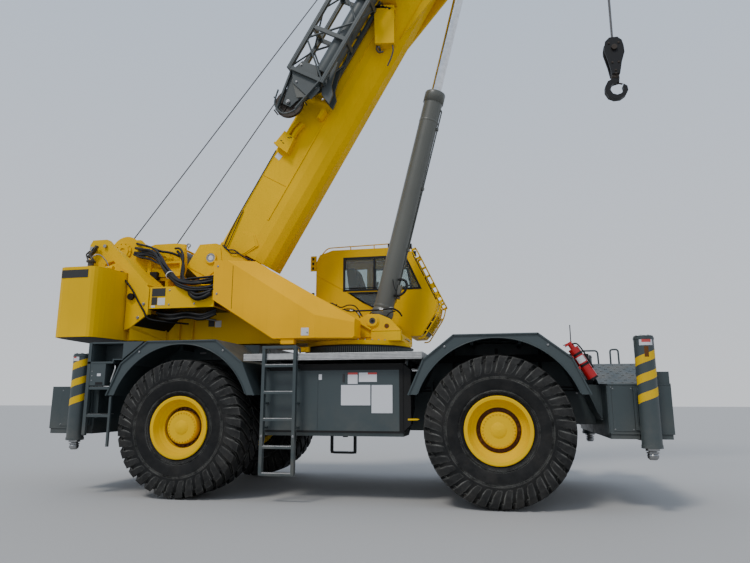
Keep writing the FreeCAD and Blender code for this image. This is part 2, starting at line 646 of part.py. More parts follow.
glass = []
for i, (label, plane, wire, lo, hi) in enumerate((
        ("glass_side", "XZ", [(-393, 3012), (298, 3012), (298, 3543), (-393, 3543)], ci + 18, ci + 24),
        ("glass_low", "XZ", [(-325, 2957), (324, 2957), (129, 2703), (-58, 2802)], ci + 18, ci + 24),
        ("glass_front_side", "XZ", [(402, 3012), (856, 3012), (618, 3538), (402, 3538)], ci + 18, ci + 24),
        ("glass_left", "XZ", [(-757, 2953), (-183, 2953), (-183, 3537), (-699, 3537), (-757, 3438)], co - 24, co - 18),
        ("glass_screen", "XZ", [(1084, 2832), (1092, 2836), (745, 3557), (737, 3553)], ci + 92, co - 92),
        ("glass_lower_screen", "XZ", [(930, 2348), (938, 2344), (1072, 2556), (1064, 2560)], ci + 92, co - 92),
        ("glass_rear", "YZ", rect(ci + 112, co - 112, 2952, 3428), -862.0, -856.0),
        ("glass_roof", "XY", rect(-378, 418, ci + 122, co - 122), 3672.0, 3678.0))):
    g = Node(label)
    g.pad(plane, [wire], lo, hi)
    glass.append(g)
group("cab_glass", glass)

seat = Node("cab_seat")
seat.box(-250, 150, 760, 1180, 2381, 2520)
seat.box(-330, 230, 720, 1220, 2519, 2860)
seat.pad("XZ", [[(-330, 2859), (-150, 2859), (-270, 3420), (-410, 3420)]], 745, 1195)
for y in (690, 1190):
    seat.box(-230, 200, y, y + 60, 2840, 2980)
console = Node("console")
console.pad("XZ", [[(640, 2345), (800, 2345), (900, 2560), (720, 2920), (640, 2920)]], 700, 1150)
group("cab_interior", [seat, console])

door = Node("cab_door")
door.pad("XZ", [[(-130, 2370), (590, 2370), (740, 2780), (590, 3600), (-130, 3600)]], co + 14, co + 44)
door.cut("XZ", [[(-60, 2900), (610, 2900), (655, 2960), (540, 3540), (-60, 3540)]], co, co + 60)
door.box(560, 600, co + 43, co + 75, 2560, 2760)
keep(door)

# ------------------------------------------------------------------ boom, in a frame that runs along it from the foot pin
TILT = (V(0, 1, 0), -D["boom_angle"].v)
AT = (px, 0, pz)
up, deep, half = D["boom_up"], D["boom_deep"], D["boom_half"]
# section outline as fractions of the half-width and the depth: flat top, facets below
SECT = [(0.90, 0.0), (1.0, 0.05), (1.0, 0.52), (0.955, 0.68), (0.83, 0.83), (0.62, 0.94), (0.34, 1.0)]


def section(w, top, depth):
    right = [(w * a, top - depth * b) for a, b in SECT]
    left = [((0 - w) * a, top - depth * b) for a, b in SECT[::-1]]
    return right + left


def tube(node, w, top, depth, wall, lo, hi):
    node.pad("YZ", [section(w, top, depth), section(w - wall, top - wall, depth - wall * 2)], lo, hi)
    return node


wl = D["wall"]
base = Node("boom_base_section", at=AT, turn=TILT)
tube(base, half, up, deep, wl, 300.0, D["base_end"])
# foot: two cheeks and the pin tube
for s in (-1, 1):
    lo, hi = (half - 30, half) if s > 0 else (-half, 30 - half)
    base.pad("XZ", [[(-235, -150), (-150, -240), (120, -330), (320, -400), (900, -400), (900, 40), (301, 40), (301, 88), (-120, 88), (-235, 0)]],
             lo, hi)
base.pad("XZ", [("circle", 0, 0, 150.0)], -415, 415)
base.box(0, 320, -301, 301, 60, 86)
base.cut("XZ", [("circle", 0, 0, D["foot_pin_r"] + D["run_gap"])], -420, 420)
# reinforced head of the section
base.pad("YZ", [section(half + 22, up + 22, deep + 44), section(half - 1, up - 1, deep - 2)], D["base_end"] - 330, D["base_end"])
# lift cylinder bracket: side doublers and ears
lx, lz = D["lug_x"], D["lug_z"]
for s in (-1, 1):
    lo, hi = (165, 225) if s > 0 else (-225, -165)
    base.pad("XZ", [[(lx - 1900, -795), (lx - 260, lz - 60), (lx - 110, lz - 125), (lx + 110, lz - 125), (lx + 190, lz - 40),
                     (lx + 320, -795)]], lo, hi)
base.pad("XZ", [("circle", lx, lz, D["lug_pin_r"])], -240, 240)
keep(base)

# inner sections: label, half-width, top, depth, from, to
SECTIONS = [("boom_mid_section", half - 45, up - 45, deep - 90, 820.0, D["base_end"] + 190),
            ("boom_outer_section", half - 90, up - 90, deep - 180, 900.0, D["base_end"] + 380),
            ("boom_fly_section", half - 135, up - 135, deep - 270, 980.0, D["base_end"] + 570)]
for label, w, top, depth, lo, hi in SECTIONS:
    n = Node(label, at=AT, turn=TILT)
    tube(n, w, top, depth, wl, lo, hi)
    if label != "boom_fly_section":
        n.pad("YZ", [section(w + 18, top + 18, depth + 36), section(w - 1, top - 1, depth - 2)], hi - 150, hi)
    else:
        nx, nz = D["nose_x"], D["nose_z"]
        # nose: two cheeks past the section's end, guide sheave brackets on top
        n.pad("YZ", [section(w + 18, top + 18, depth + 36), section(w - 1, top - 1, depth - 2)], hi - 60, hi)
        for s in (-1, 1):
            a, b = (w - 45, w) if s > 0 else (-w, 45 - w)
            n.pad("XZ", [[(hi - 40, top - 10), (hi + 60, top + 230), (nx + 120, top + 330), (nx + 300, nz + 180), (nx + 290, nz - 60),
                          (nx + 120, nz - 260), (nx - 180, nz - 330), (hi - 40, top - depth + 10)]], a, b)
        n.pad("XZ", [[(hi - 30, top - depth + 40), (hi + 200, top - depth + 60), (hi + 200, top - depth + 100),
                      (hi - 30, top - depth + 90)]], 44 - w, w - 44)
        n.pad("XZ", [("circle", nx, nz, 44.0)], -w - 30, w + 30)
        n.pad("XZ", [("circle", nx - 60, top + 190, 30.0)], -w - 10, w + 10)
        n.pad("XZ", [("circle", nx - 60, top + 190, 165.0)], -24, 24)
        keep(n)
        continue
    keep(n)

sheaves = Node("nose_sheaves", at=(px, 0, pz), turn=TILT)
w = half - 135
sr = D["sheave_r"]
for y in (-95, 0, 95):
    sheaves.pad("XZ", [("circle", nx, nz, sr), ("circle", nx, nz, 45.0)], y - 24, y + 24)
sheaves.pad("XZ", [("circle", nx, nz, 80.0), ("circle", nx, nz, 45.0)], -140, 140)
keep(sheaves)

# ------------------------------------------------------------------ lattice extension stowed on the right side of the base section
jib = Node("lattice_jib", at=AT, turn=TILT)
JY0, JY1 = -830, -400
JZ0, JZ1 = -320, 350
for y in (JY0, JY1 - 60):
    for z in (JZ0, JZ1 - 60):
        jib.box(3150, 10250, y, y + 60, z, z + 60)
for x in (3150, 3900, 4650, 5400, 6150, 6900, 7650, 8400, 9150, 10190):
    for y in (JY0, JY1 - 60):
        jib.box(x, x + 60, y + 5, y + 55, JZ0, JZ1)
    for z in (JZ0, JZ1 - 60):
        jib.box(x, x + 60, JY0, JY1, z + 5, z + 55)
jx, jz = D["jib_tip_x"], D["jib_tip_z"]
for y in (-690, -590):
    jib.pad("XZ", [[(jx - 60, jz - 70), (jx - 60, jz + 70), (jx + 60, jz + 100), (3200, JZ1 - 10), (3200, JZ0 + 10), (jx + 60, jz - 110)]],
            y, y + 30)
for z in (JZ0 + 10, JZ1 - 40):
    jib.box(3150, 3210, -700, -550, z, z + 30)
jib.pad("XZ", [("circle", jx, jz, 30.0)], -700, -550)
# brackets to the boom
for x in (3300, 8600):
    jib.box(x, x + 120, JY1 - 60, -331, -150, -90)
    jib.box(x, x + 120, JY1 - 60, JY1, -300, 330)
keep(jib)
jsh = Node("jib_sheave", at=AT, turn=TILT)
jsh.pad("XZ", [("circle", jx, jz, D["jib_sheave_r"]), ("circle", jx, jz, 31.0)], -652, -608)
keep(jsh)

# ------------------------------------------------------------------ lift cylinder
ang = math.radians(D["boom_angle"].v)
ux = px.v + lx.v * math.cos(ang) - lz.v * math.sin(ang)
uz = pz.v + lx.v * math.sin(ang) + lz.v * math.cos(ang)
cyl_len = math.hypot(ux - D["foot_x"].v, uz - D["foot_z"].v)
cyl_ang = math.degrees(math.atan2(uz - D["foot_z"].v, ux - D["foot_x"].v))
print("lift cylinder: upper pin %.1f %.1f, length %.1f, angle %.2f" % (ux, uz, cyl_len, cyl_ang))
CT = (V(0, 1, 0), -cyl_ang)
barrel = Node("lift_barrel", at=(D["foot_x"], 0, D["foot_z"]), turn=CT)
bl, br = D["barrel_len"], D["barrel_r"]
barrel.pad("XZ", [("circle", 0, 0, 140.0)], -130, 130)
barrel.spin("XZ", [[(60, 0), (60, 120), (150, 168), (215, 168), (260, br), (bl - 190, br), (bl - 185, br + 3), (bl, br + 3), (bl, 86),
                    (230, 86), (230, 0)]], axis="H_Axis")
barrel.cut("XZ", [("circle", 0, 0, 62.0)], -140, 140)
keep(barrel)
rod = Node("lift_rod", at=(ux, 0, uz), turn=CT)
rr, rl = D["rod_r"], D["rod_len"]
rod.pad("YZ", [("circle", 0, 0, rr)], -rl, -60.0)
rod.pad("XZ", [("circle", 0, 0, 100.0)], -150, 150)
rod.cut("XZ", [("circle", 0, 0, D["lug_pin_r"] + D["run_gap"])], -160, 160)
keep(rod)

# ------------------------------------------------------------------ hoist falls, block and hook
nsx = px.v + nx.v * math.cos(ang) - nz.v * math.sin(ang)
nsz = pz.v + nx.v * math.sin(ang) + nz.v * math.cos(ang)
print("nose sheave centre %.1f %.1f, falls at x %.1f" % (nsx, nsz, nsx + sr.v))
hx, bt = sr + (nsx + 16), D["block_top"]
falls = Node("falls_guide", at=(hx, 0, nsz))
for y in (-95, 95):
    falls.pad("XY", [("circle", 0, y, 11.0)], -900, 0)
falls.box(-45, 45, -130, 130, -960, -895)
keep(falls)
block = Node("hook_block", at=(hx, 0, bt))
BLK = [(-60, 0), (-120, -60), (-139, -150), (-139, -215), (-90, -420), (-60, -600), (60, -600), (95, -420), (145, -260), (139, -150),
       (120, -60), (60, 0)]
for y in (-80, 50):
    block.pad("XZ", [BLK[::-1]], y, y + 30)
block.pad("XZ", [("circle", 0, -175, 118.0)], -45, 45)
block.pad("XZ", [("circle", 0, -175, 40.0)], -100, 100)
block.box(-58, 58, -51, 51, -600, -500)
keep(block)
hook = Node("hook", at=(hx, 0, bt))
hook.pad("XY", [("circle", 0, 0, 38.0)], -700, -606)
HOOK_OUT = [(-45, -660), (-120, -700), (-162, -780), (-165, -860), (-120, -950), (-40, -992), (50, -988), (120, -940), (158, -870),
            (150, -800), (100, -762), (88, -790), (98, -850), (62, -912), (0, -930), (-60, -905), (-88, -850), (-80, -780), (-40, -740),
            (45, -720), (45, -660)]
hook.pad("XZ", [HOOK_OUT[::-1]], -48, 48)
keep(hook)

doc.recompute()

# ------------------------------------------------------------------ checks and export
bad = [o.Name for o in doc.Objects if "Invalid" in o.State or "Error" in o.State]
if bad:
    raise SystemExit("failed features: %s" % ", ".join(bad))
labels = [o.Label for o in NODES]
if len(set(labels)) != len(labels):
    raise SystemExit("labels repeat")
for o in NODES:
    if o.Shape.isNull() or not o.Shape.isValid() or not o.Shape.Solids:
        raise SystemExit("bad shape: " + o.Label)
os.makedirs("parts", exist_ok=True)
for old in os.listdir("parts"):
    if old.endswith(".step"):
        os.remove(os.path.join("parts", old))
box = FreeCAD.BoundBox()
total = 0.0
for o in NODES:
    o.Shape.exportStep("parts/%s.step" % o.Label)
    box.add(o.Shape.BoundBox)
    total += o.Shape.Volume / 1e9
    print("%-24s %2d solid(s) %9.4f m3" % (o.Label, len(o.Shape.Solids), o.Shape.Volume / 1e9))
print("nodes %d, x %.1f %.1f y %.1f %.1f z %.1f %.1f, volume %.3f m3" % (
    len(NODES), box.XMin, box.XMax, box.YMin, box.YMax, box.ZMin, box.ZMax, total))
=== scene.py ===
import bpy
import math
import random
from mathutils import Matrix, Vector


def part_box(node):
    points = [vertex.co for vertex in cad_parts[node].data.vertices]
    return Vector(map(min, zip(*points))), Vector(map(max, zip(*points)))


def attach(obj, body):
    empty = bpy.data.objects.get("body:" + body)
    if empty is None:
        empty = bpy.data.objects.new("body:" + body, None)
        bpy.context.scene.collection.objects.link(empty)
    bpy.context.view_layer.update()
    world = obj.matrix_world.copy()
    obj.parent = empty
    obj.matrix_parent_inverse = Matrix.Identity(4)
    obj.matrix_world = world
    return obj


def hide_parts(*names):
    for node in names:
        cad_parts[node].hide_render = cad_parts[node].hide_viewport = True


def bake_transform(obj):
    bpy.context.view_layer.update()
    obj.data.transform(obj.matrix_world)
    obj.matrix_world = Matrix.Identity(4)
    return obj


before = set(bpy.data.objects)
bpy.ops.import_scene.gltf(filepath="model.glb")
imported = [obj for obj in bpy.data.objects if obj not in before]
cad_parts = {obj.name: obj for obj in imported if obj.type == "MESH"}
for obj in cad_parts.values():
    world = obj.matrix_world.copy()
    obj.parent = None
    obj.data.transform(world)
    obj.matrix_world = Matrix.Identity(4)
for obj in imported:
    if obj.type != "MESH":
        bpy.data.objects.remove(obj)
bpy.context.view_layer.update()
random.seed(7)

# ------------------------------------------------------------------ camera
yaw, pitch = math.radians(11.694), math.radians(11.117)
cam_data = bpy.data.cameras.new("camera")
cam_data.sensor_width = 36.0
cam_data.sensor_fit = "HORIZONTAL"
cam_data.lens = 603.89 / 750.0 * 36.0
cam_data.clip_start, cam_data.clip_end = 0.1, 400.0
cam = bpy.data.objects.new("camera", cam_data)
bpy.context.scene.collection.objects.link(cam)
cam.location = (2.0864, -8.9260, 1.2377)
fwd = Vector((-math.sin(yaw) * math.cos(pitch), math.cos(yaw) * math.cos(pitch), math.sin(pitch)))
right = Vector((math.cos(yaw), math.sin(yaw), 0.0))
up = right.cross(fwd)
rot = Matrix((right, up, -fwd)).transposed()
cam.rotation_euler = rot.to_euler()
bpy.context.scene.camera = cam


# ------------------------------------------------------------------ node helpers
class Mat:
    """A material with a few helpers to wire its nodes."""

    def __init__(self, name):
        self.m = bpy.data.materials.new(name)
        self.m.use_nodes = True
        self.t = self.m.node_tree
        self.p = self.t.nodes["Principled BSDF"]
        self.tc = self.new("ShaderNodeTexCoord")
        self.geo = self.new("ShaderNodeNewGeometry")
        self.co = self.tc.outputs["Object"]

    def new(self, kind, **kw):
        n = self.t.nodes.new(kind)
        for k, v in kw.items():
            setattr(n, k, v)
        return n

    def link(self, a, b):
        self.t.links.new(a, b)

    def put(self, socket, v):
        if isinstance(v, bpy.types.NodeSocket):
            self.link(v, socket)
        else:
            socket.default_value = v

    def noise(self, scale, detail=4.0, rough=0.55, stretch=None, distort=0.0):
        n = self.new("ShaderNodeTexNoise")
        n.inputs["Scale"].default_value = scale
        n.inputs["Detail"].default_value = detail
        n.inputs["Roughness"].default_value = rough
        n.inputs["Distortion"].default_value = distort
        src = self.co
        if stretch:
            mp = self.new("ShaderNodeMapping")
            mp.inputs["Scale"].default_value = stretch
            self.link(self.co, mp.inputs["Vector"])
            src = mp.outputs["Vector"]
        self.link(src, n.inputs["Vector"])
        return n.outputs["Fac"]

    def voronoi(self, scale):
        n = self.new("ShaderNodeTexVoronoi")
        n.inputs["Scale"].default_value = scale
        self.link(self.co, n.inputs["Vector"])
        return n.outputs["Distance"]

    def ramp(self, fac, a, b, va=0.0, vb=1.0):
        n = self.new("ShaderNodeMapRange")
        n.interpolation_type = "SMOOTHSTEP"
        self.put(n.inputs["Value"], fac)
        n.inputs["From Min"].default_value = a
        n.inputs["From Max"].default_value = b
        n.inputs["To Min"].default_value = va
        n.inputs["To Max"].default_value = vb
        return n.outputs["Result"]

    def math(self, op, a, b=0.0, clamp=False):
        n = self.new("ShaderNodeMath", operation=op, use_clamp=clamp)
        self.put(n.inputs[0], a)
        self.put(n.inputs[1], b)
        return n.outputs[0]

    def mix(self, fac, a, b):
        n = self.new("ShaderNodeMix", data_type="RGBA")
        self.put(n.inputs["Factor"], fac)
        for s, v in ((n.inputs[6], a), (n.inputs[7], b)):
            if isinstance(v, bpy.types.NodeSocket):
                self.link(v, s)
            else:
                s.default_value = (v[0], v[1], v[2], 1.0)
        return n.outputs[2]

    def xyz(self, vec):
        n = self.new("ShaderNodeSeparateXYZ")
        self.link(vec, n.inputs[0])
        return n.outputs

    def normal_z(self):
        n = self.new("ShaderNodeVectorTransform", vector_type="NORMAL", convert_from="WORLD", convert_to="OBJECT")
        self.link(self.geo.outputs["Normal"], n.inputs[0])
        return self.xyz(n.outputs[0])[2]

    def bump(self, height, strength, distance, chain=None):
        n = self.new("ShaderNodeBump")
        n.inputs["Strength"].default_value = strength
        n.inputs["Distance"].default_value = distance
        self.link(height, n.inputs["Height"])
        if chain is not None:
            self.link(chain, n.inputs["Normal"])
        return n.outputs["Normal"]

    def bevel(self, radius):
        n = self.new("ShaderNodeBevel", samples=4)
        n.inputs["Radius"].default_value = radius
        return n.outputs["Normal"]

    def done(self, color, rough, normal=None, metallic=0.0, coat=0.0, coat_rough=0.1):
        self.put(self.p.inputs["Base Color"], color if isinstance(color, bpy.types.NodeSocket) else (*color, 1.0))
        self.put(self.p.inputs["Roughness"], rough)
        self.put(self.p.inputs["Metallic"], metallic)
        self.p.inputs["Coat Weight"].default_value = coat
        self.p.inputs["Coat Roughness"].default_value = coat_rough
        if normal is not None:
            self.link(normal, self.p.inputs["Normal"])
        return self.m


DUST = (0.30, 0.245, 0.18)


def painted(name, color, rough=0.38, dust=0.25, low=0.0, streak=0.12, coat=0.15, edge=0.006, chips=0.0, spec=0.5):
    """Paint over steel: slightly uneven colour, rain streaks, dust on what faces up and, with low, near the ground."""
    m = Mat(name)
    broad = m.noise(0.7, 3.0, 0.5)
    fine = m.noise(26.0, 6.0, 0.6)
    c = m.mix(m.ramp(broad, 0.3, 0.7), [x * 0.90 for x in color], [min(1.0, x * 1.07) for x in color])
    runs = m.noise(2.2, 6.0, 0.62, stretch=(5.0, 5.0, 0.35))
    c = m.mix(m.math("MULTIPLY", m.ramp(runs, 0.50, 0.78), streak), c, [x * 0.50 + y * 0.10 for x, y in zip(color, DUST)])
    up_ = m.ramp(m.normal_z(), 0.25, 0.95)
    cloud = m.ramp(m.noise(3.1, 8.0, 0.68), 0.34, 0.72)
    d = m.math("MULTIPLY", m.math("MULTIPLY", up_, cloud), dust * 2.2, clamp=True)
    if low:
        z = m.xyz(m.co)[2]
        near = m.ramp(z, 1.35, 0.35)
        d = m.math("ADD", d, m.math("MULTIPLY", m.math("MULTIPLY", near, cloud), low), clamp=True)
    speck = m.ramp(fine, 0.60, 0.80)
    d = m.math("ADD", d, m.math("MULTIPLY", speck, dust * 0.18), clamp=True)
    c = m.mix(d, c, DUST)
    if chips:
        worn = m.math("MULTIPLY", m.ramp(m.noise(9.0, 9.0, 0.7), 0.66, 0.70), chips)
        c = m.mix(worn, c, (0.10, 0.075, 0.055))
    r = m.ramp(m.noise(6.0, 5.0, 0.6), 0.25, 0.8, rough * 0.85, rough * 1.25)
    r = m.math("ADD", r, m.math("MULTIPLY", d, 0.45), clamp=True)
    n = m.bevel(edge) if edge else None
    n = m.bump(m.noise(3.0, 3.0, 0.5), 0.05, 0.02, n)
    m.p.inputs["Specular IOR Level"].default_value = spec
    return m.done(c, r, n, coat=coat, coat_rough=0.25)


YELLOW = (0.80, 0.475, 0.0)
YELLOW_2 = (0.90, 0.46, 0.0)
GREY = (0.046, 0.062, 0.066)
M = {}
M["yellow"] = painted("paint_yellow", YELLOW, rough=0.46, dust=0.004, streak=0.16, coat=0.0, spec=0.05)
M["yellow_warm"] = painted("paint_yellow_warm", YELLOW_2, rough=0.42, dust=0.004, streak=0.12, coat=0.0, spec=0.05)
M["yellow_rim"] = painted("paint_yellow_rim", (0.76, 0.46, 0.0), rough=0.48, dust=0.02, low=0.03, streak=0.14, edge=0.004, chips=0.45, coat=0.0, spec=0.05)
M["grey"] = painted("paint_grey", GREY, rough=0.42, dust=0.12, low=0.26, streak=0.18, coat=0.05, spec=0.40)
M["cylinder"] = painted("paint_cylinder", (0.098, 0.100, 0.086), rough=0.40, dust=0.04, streak=0.25, coat=0.1, spec=0.45)
M["slate"] = painted("paint_slate", (0.058, 0.069, 0.070), rough=0.42, dust=0.06, streak=0.15, coat=0.05, edge=0.003, spec=0.4)
M["black"] = painted("paint_black", (0.008, 0.008, 0.009), rough=0.48, dust=0.08, streak=0.05, coat=0.0, edge=0.002, spec=0.3)
M["red"] = painted("paint_red", (0.42, 0.008, 0.010), rough=0.28, dust=0.04, streak=0.08, coat=0.3, edge=0.004, spec=0.3)
M["stripe"] = painted("stripe_yellow", (0.74, 0.46, 0.0), rough=0.45, dust=0.04, streak=0.25, edge=0.0, chips=0.6, coat=0.0, spec=0.15)
M["brown_ring"] = painted("ring_brown", (0.125, 0.043, 0.004), rough=0.6, dust=0.1, streak=0.1, edge=0.0, spec=0.2)
M["orange_light"] = painted("rail_yellow", YELLOW, rough=0.4, dust=0.05, streak=0.1, edge=0.002, coat=0.0, spec=0.16)


def make_metal(name, color, rough, brushed=(1, 1, 1), dust=0.1, edge=0.003, metallic=1.0):
    m = Mat(name)
    cloud = m.ramp(m.noise(4.0, 7.0, 0.65), 0.35, 0.75)
    up_ = m.ramp(m.normal_z(), 0.2, 0.95)
    d = m.math("MULTIPLY", m.math("MULTIPLY", cloud, up_), dust * 2.0, clamp=True)
    c = m.mix(m.ramp(m.noise(14.0, 6.0, 0.6), 0.3, 0.75), [x * 0.8 for x in color], color)
    c = m.mix(d, c, DUST)
    r = m.ramp(m.noise(30.0, 4.0, 0.6, stretch=brushed), 0.25, 0.8, rough * 0.75, rough * 1.3)
    r = m.math("ADD", r, m.math("MULTIPLY", d, 0.4), clamp=True)
    return m.done(c, r, m.bevel(edge) if edge else None, metallic=metallic)


M["chrome"] = make_metal("rod_chrome", (0.80, 0.80, 0.81), 0.10, dust=0.0, edge=0.0)
M["steel"] = make_metal("bare_steel", (0.36, 0.36, 0.36), 0.34, dust=0.2)
M["alu"] = make_metal("silver_edge", (0.56, 0.56, 0.55), 0.42, dust=0.25, edge=0.004, metallic=0.55)
M["tread_plate"] = make_metal("tread_plate", (0.42, 0.42, 0.41), 0.48, dust=0.4, edge=0.004, metallic=0.7)
M["iron"] = make_metal("cast_iron", (0.085, 0.080, 0.074), 0.62, dust=0.3, metallic=0.5)
M["sheave"] = make_metal("sheave_iron", (0.050, 0.038, 0.030), 0.55, dust=0.1, metallic=0.45)
M["rope"] = make_metal("wire_rope", (0.14, 0.14, 0.145), 0.5, dust=0.0, edge=0.0, metallic=0.8)


def make_rubber():
    m = Mat("tyre_rubber")
    c = m.mix(m.ramp(m.noise(5.0, 8.0, 0.65), 0.3, 0.75), (0.0060, 0.0064, 0.0068), (0.0150, 0.0150, 0.0148))
    dusty = m.ramp(m.noise(2.4, 9.0, 0.72, distort=0.4), 0.42, 0.80)
    at = m.new("ShaderNodeAttribute", attribute_name="wear")
    wear = at.outputs["Fac"]
    c = m.mix(m.math("MULTIPLY", dusty, 0.16), c, (0.13, 0.115, 0.095))
    c = m.mix(m.math("MULTIPLY", wear, m.ramp(m.noise(9.0, 7.0, 0.7), 0.35, 0.75, 0.05, 0.34)), c, (0.075, 0.074, 0.070))
    # pale dust where the blocks' edges are worn round
    soft = m.bevel(0.020)
    dot = m.new("ShaderNodeVectorMath", operation="DOT_PRODUCT")
    m.link(soft, dot.inputs[0])
    m.link(m.geo.outputs["Normal"], dot.inputs[1])
    edge = m.ramp(dot.outputs["Value"], 0.995, 0.80)
    c = m.mix(m.math("MULTIPLY", edge, m.ramp(m.noise(6.0, 8.0, 0.7), 0.36, 0.62, 0.06, 0.90)), c, (0.185, 0.185, 0.170))
    n = m.bump(m.noise(60.0, 5.0, 0.7), 0.25, 0.004, soft)
    n = m.bump(m.noise(3.5, 4.0, 0.6), 0.35, 0.030, n)
    m.p.inputs["Specular IOR Level"].default_value = 0.22
    r = m.ramp(m.noise(8.0, 6.0, 0.6), 0.3, 0.8, 0.60, 0.85)
    return m.done(c, r, n)


M["rubber"] = make_rubber()


def make_plain(name, color, rough, **kw):
    m = Mat(name)
    m.p.inputs["Specular IOR Level"].default_value = kw.pop("spec", 0.5)
    return m.done(color, rough, **kw)


M["hose"] = make_plain("hose_rubber", (0.006, 0.006, 0.007), 0.46, spec=0.28)
M["void"] = make_plain("deep_black", (0.004, 0.004, 0.004), 0.8)
M["plastic"] = make_plain("black_plastic", (0.014, 0.014, 0.015), 0.5)
M["seat"] = make_plain("seat_cloth", (0.03, 0.03, 0.033), 0.85)
M["plate_white"] = painted("plate_white", (0.62, 0.63, 0.66), rough=0.45, dust=0.05, streak=0.05, coat=0.2, edge=0.0)
M["plate_black"] = painted("plate_black", (0.012, 0.012, 0.012), rough=0.4, dust=0.03, streak=0.05, coat=0.2, edge=0.0)
M["plate_red"] = painted("plate_red", (0.50, 0.05, 0.045), rough=0.45, dust=0.05, streak=0.05, coat=0.2, edge=0.0)
M["lamp_red"] = make_plain("lamp_red", (0.35, 0.008, 0.008), 0.15, coat=0.6)
M["lamp_amber"] = make_plain("lamp_amber", (0.75, 0.22, 0.01), 0.15, coat=0.6)
M["lamp_clear"] = make_plain("lamp_clear", (0.65, 0.66, 0.68), 0.08, metallic=0.4, coat=0.8)
M["mirror"] = make_plain("mirror_glass", (0.7, 0.72, 0.74), 0.03, metallic=1.0)


def make_glass():
    m = Mat("tinted_glass")
    m.p.inputs["Transmission Weight"].default_value = 0.92
    m.p.inputs["IOR"].default_value = 1.30
    m.p.inputs["Specular IOR Level"].default_value = 0.6
    return m.done((0.60, 0.67, 0.66), 0.02)


M["glass"] = make_glass()

# ------------------------------------------------------------------ finishes of the frame's own nodes
FINISH = {
    "carrier_frame": "grey", "front_outrigger_box": "grey", "rear_outrigger_box": "grey", "deck": "alu",
    "front_fenders": "grey", "rear_fenders": "grey", "engine_hood": "grey", "engine_block": "iron", "drive_line": "iron",
    "side_tanks": "grey", "side_ladders": "grey", "rear_steps": "grey", "slewing_ring": "black",
    "front_axle": "grey", "rear_axle": "grey", "fire_extinguisher": "red",
    "turret_frame": "yellow", "side_housing": "yellow_warm", "left_housing": "yellow", "counterweight": "yellow",
    "counterweight_arms": "yellow", "hoist_frames": "yellow", "cab_shell": "yellow", "cab_glass": "glass",
    "cab_interior": "seat", "cab_door": "yellow", "main_drum": "steel", "aux_drum": "steel",
    "boom_base_section": "yellow", "boom_mid_section": "yellow", "boom_outer_section": "yellow", "boom_fly_section": "yellow",
    "lattice_jib": "slate", "jib_sheave": "sheave", "nose_sheaves": "sheave", "lift_rod": "chrome", "lift_barrel": "cylinder",
    "falls_guide": "rope", "hook_block": "black", "hook": "black",
}
for end in ("front", "rear"):
    for side in ("right", "left"):
        FINISH["knuckle_%s_%s" % (end, side)] = "grey"
        FINISH["rim_%s_%s" % (end, side)] = "yellow_rim"
        FINISH["tyre_%s_%s" % (end, side)] = "rubber"
        FINISH["beam_%s_%s" % (end, side)] = "grey"
        FINISH["jack_%s_%s" % (end, side)] = "steel"
for node, key in FINISH.items():
    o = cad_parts[node]
    if not o.material_slots:
        o.data.materials.append(M[key])
    for s in o.material_slots:
        s.material = M[key]


# ------------------------------------------------------------------ small shapes joined into one mesh a bag
BAGS = {}


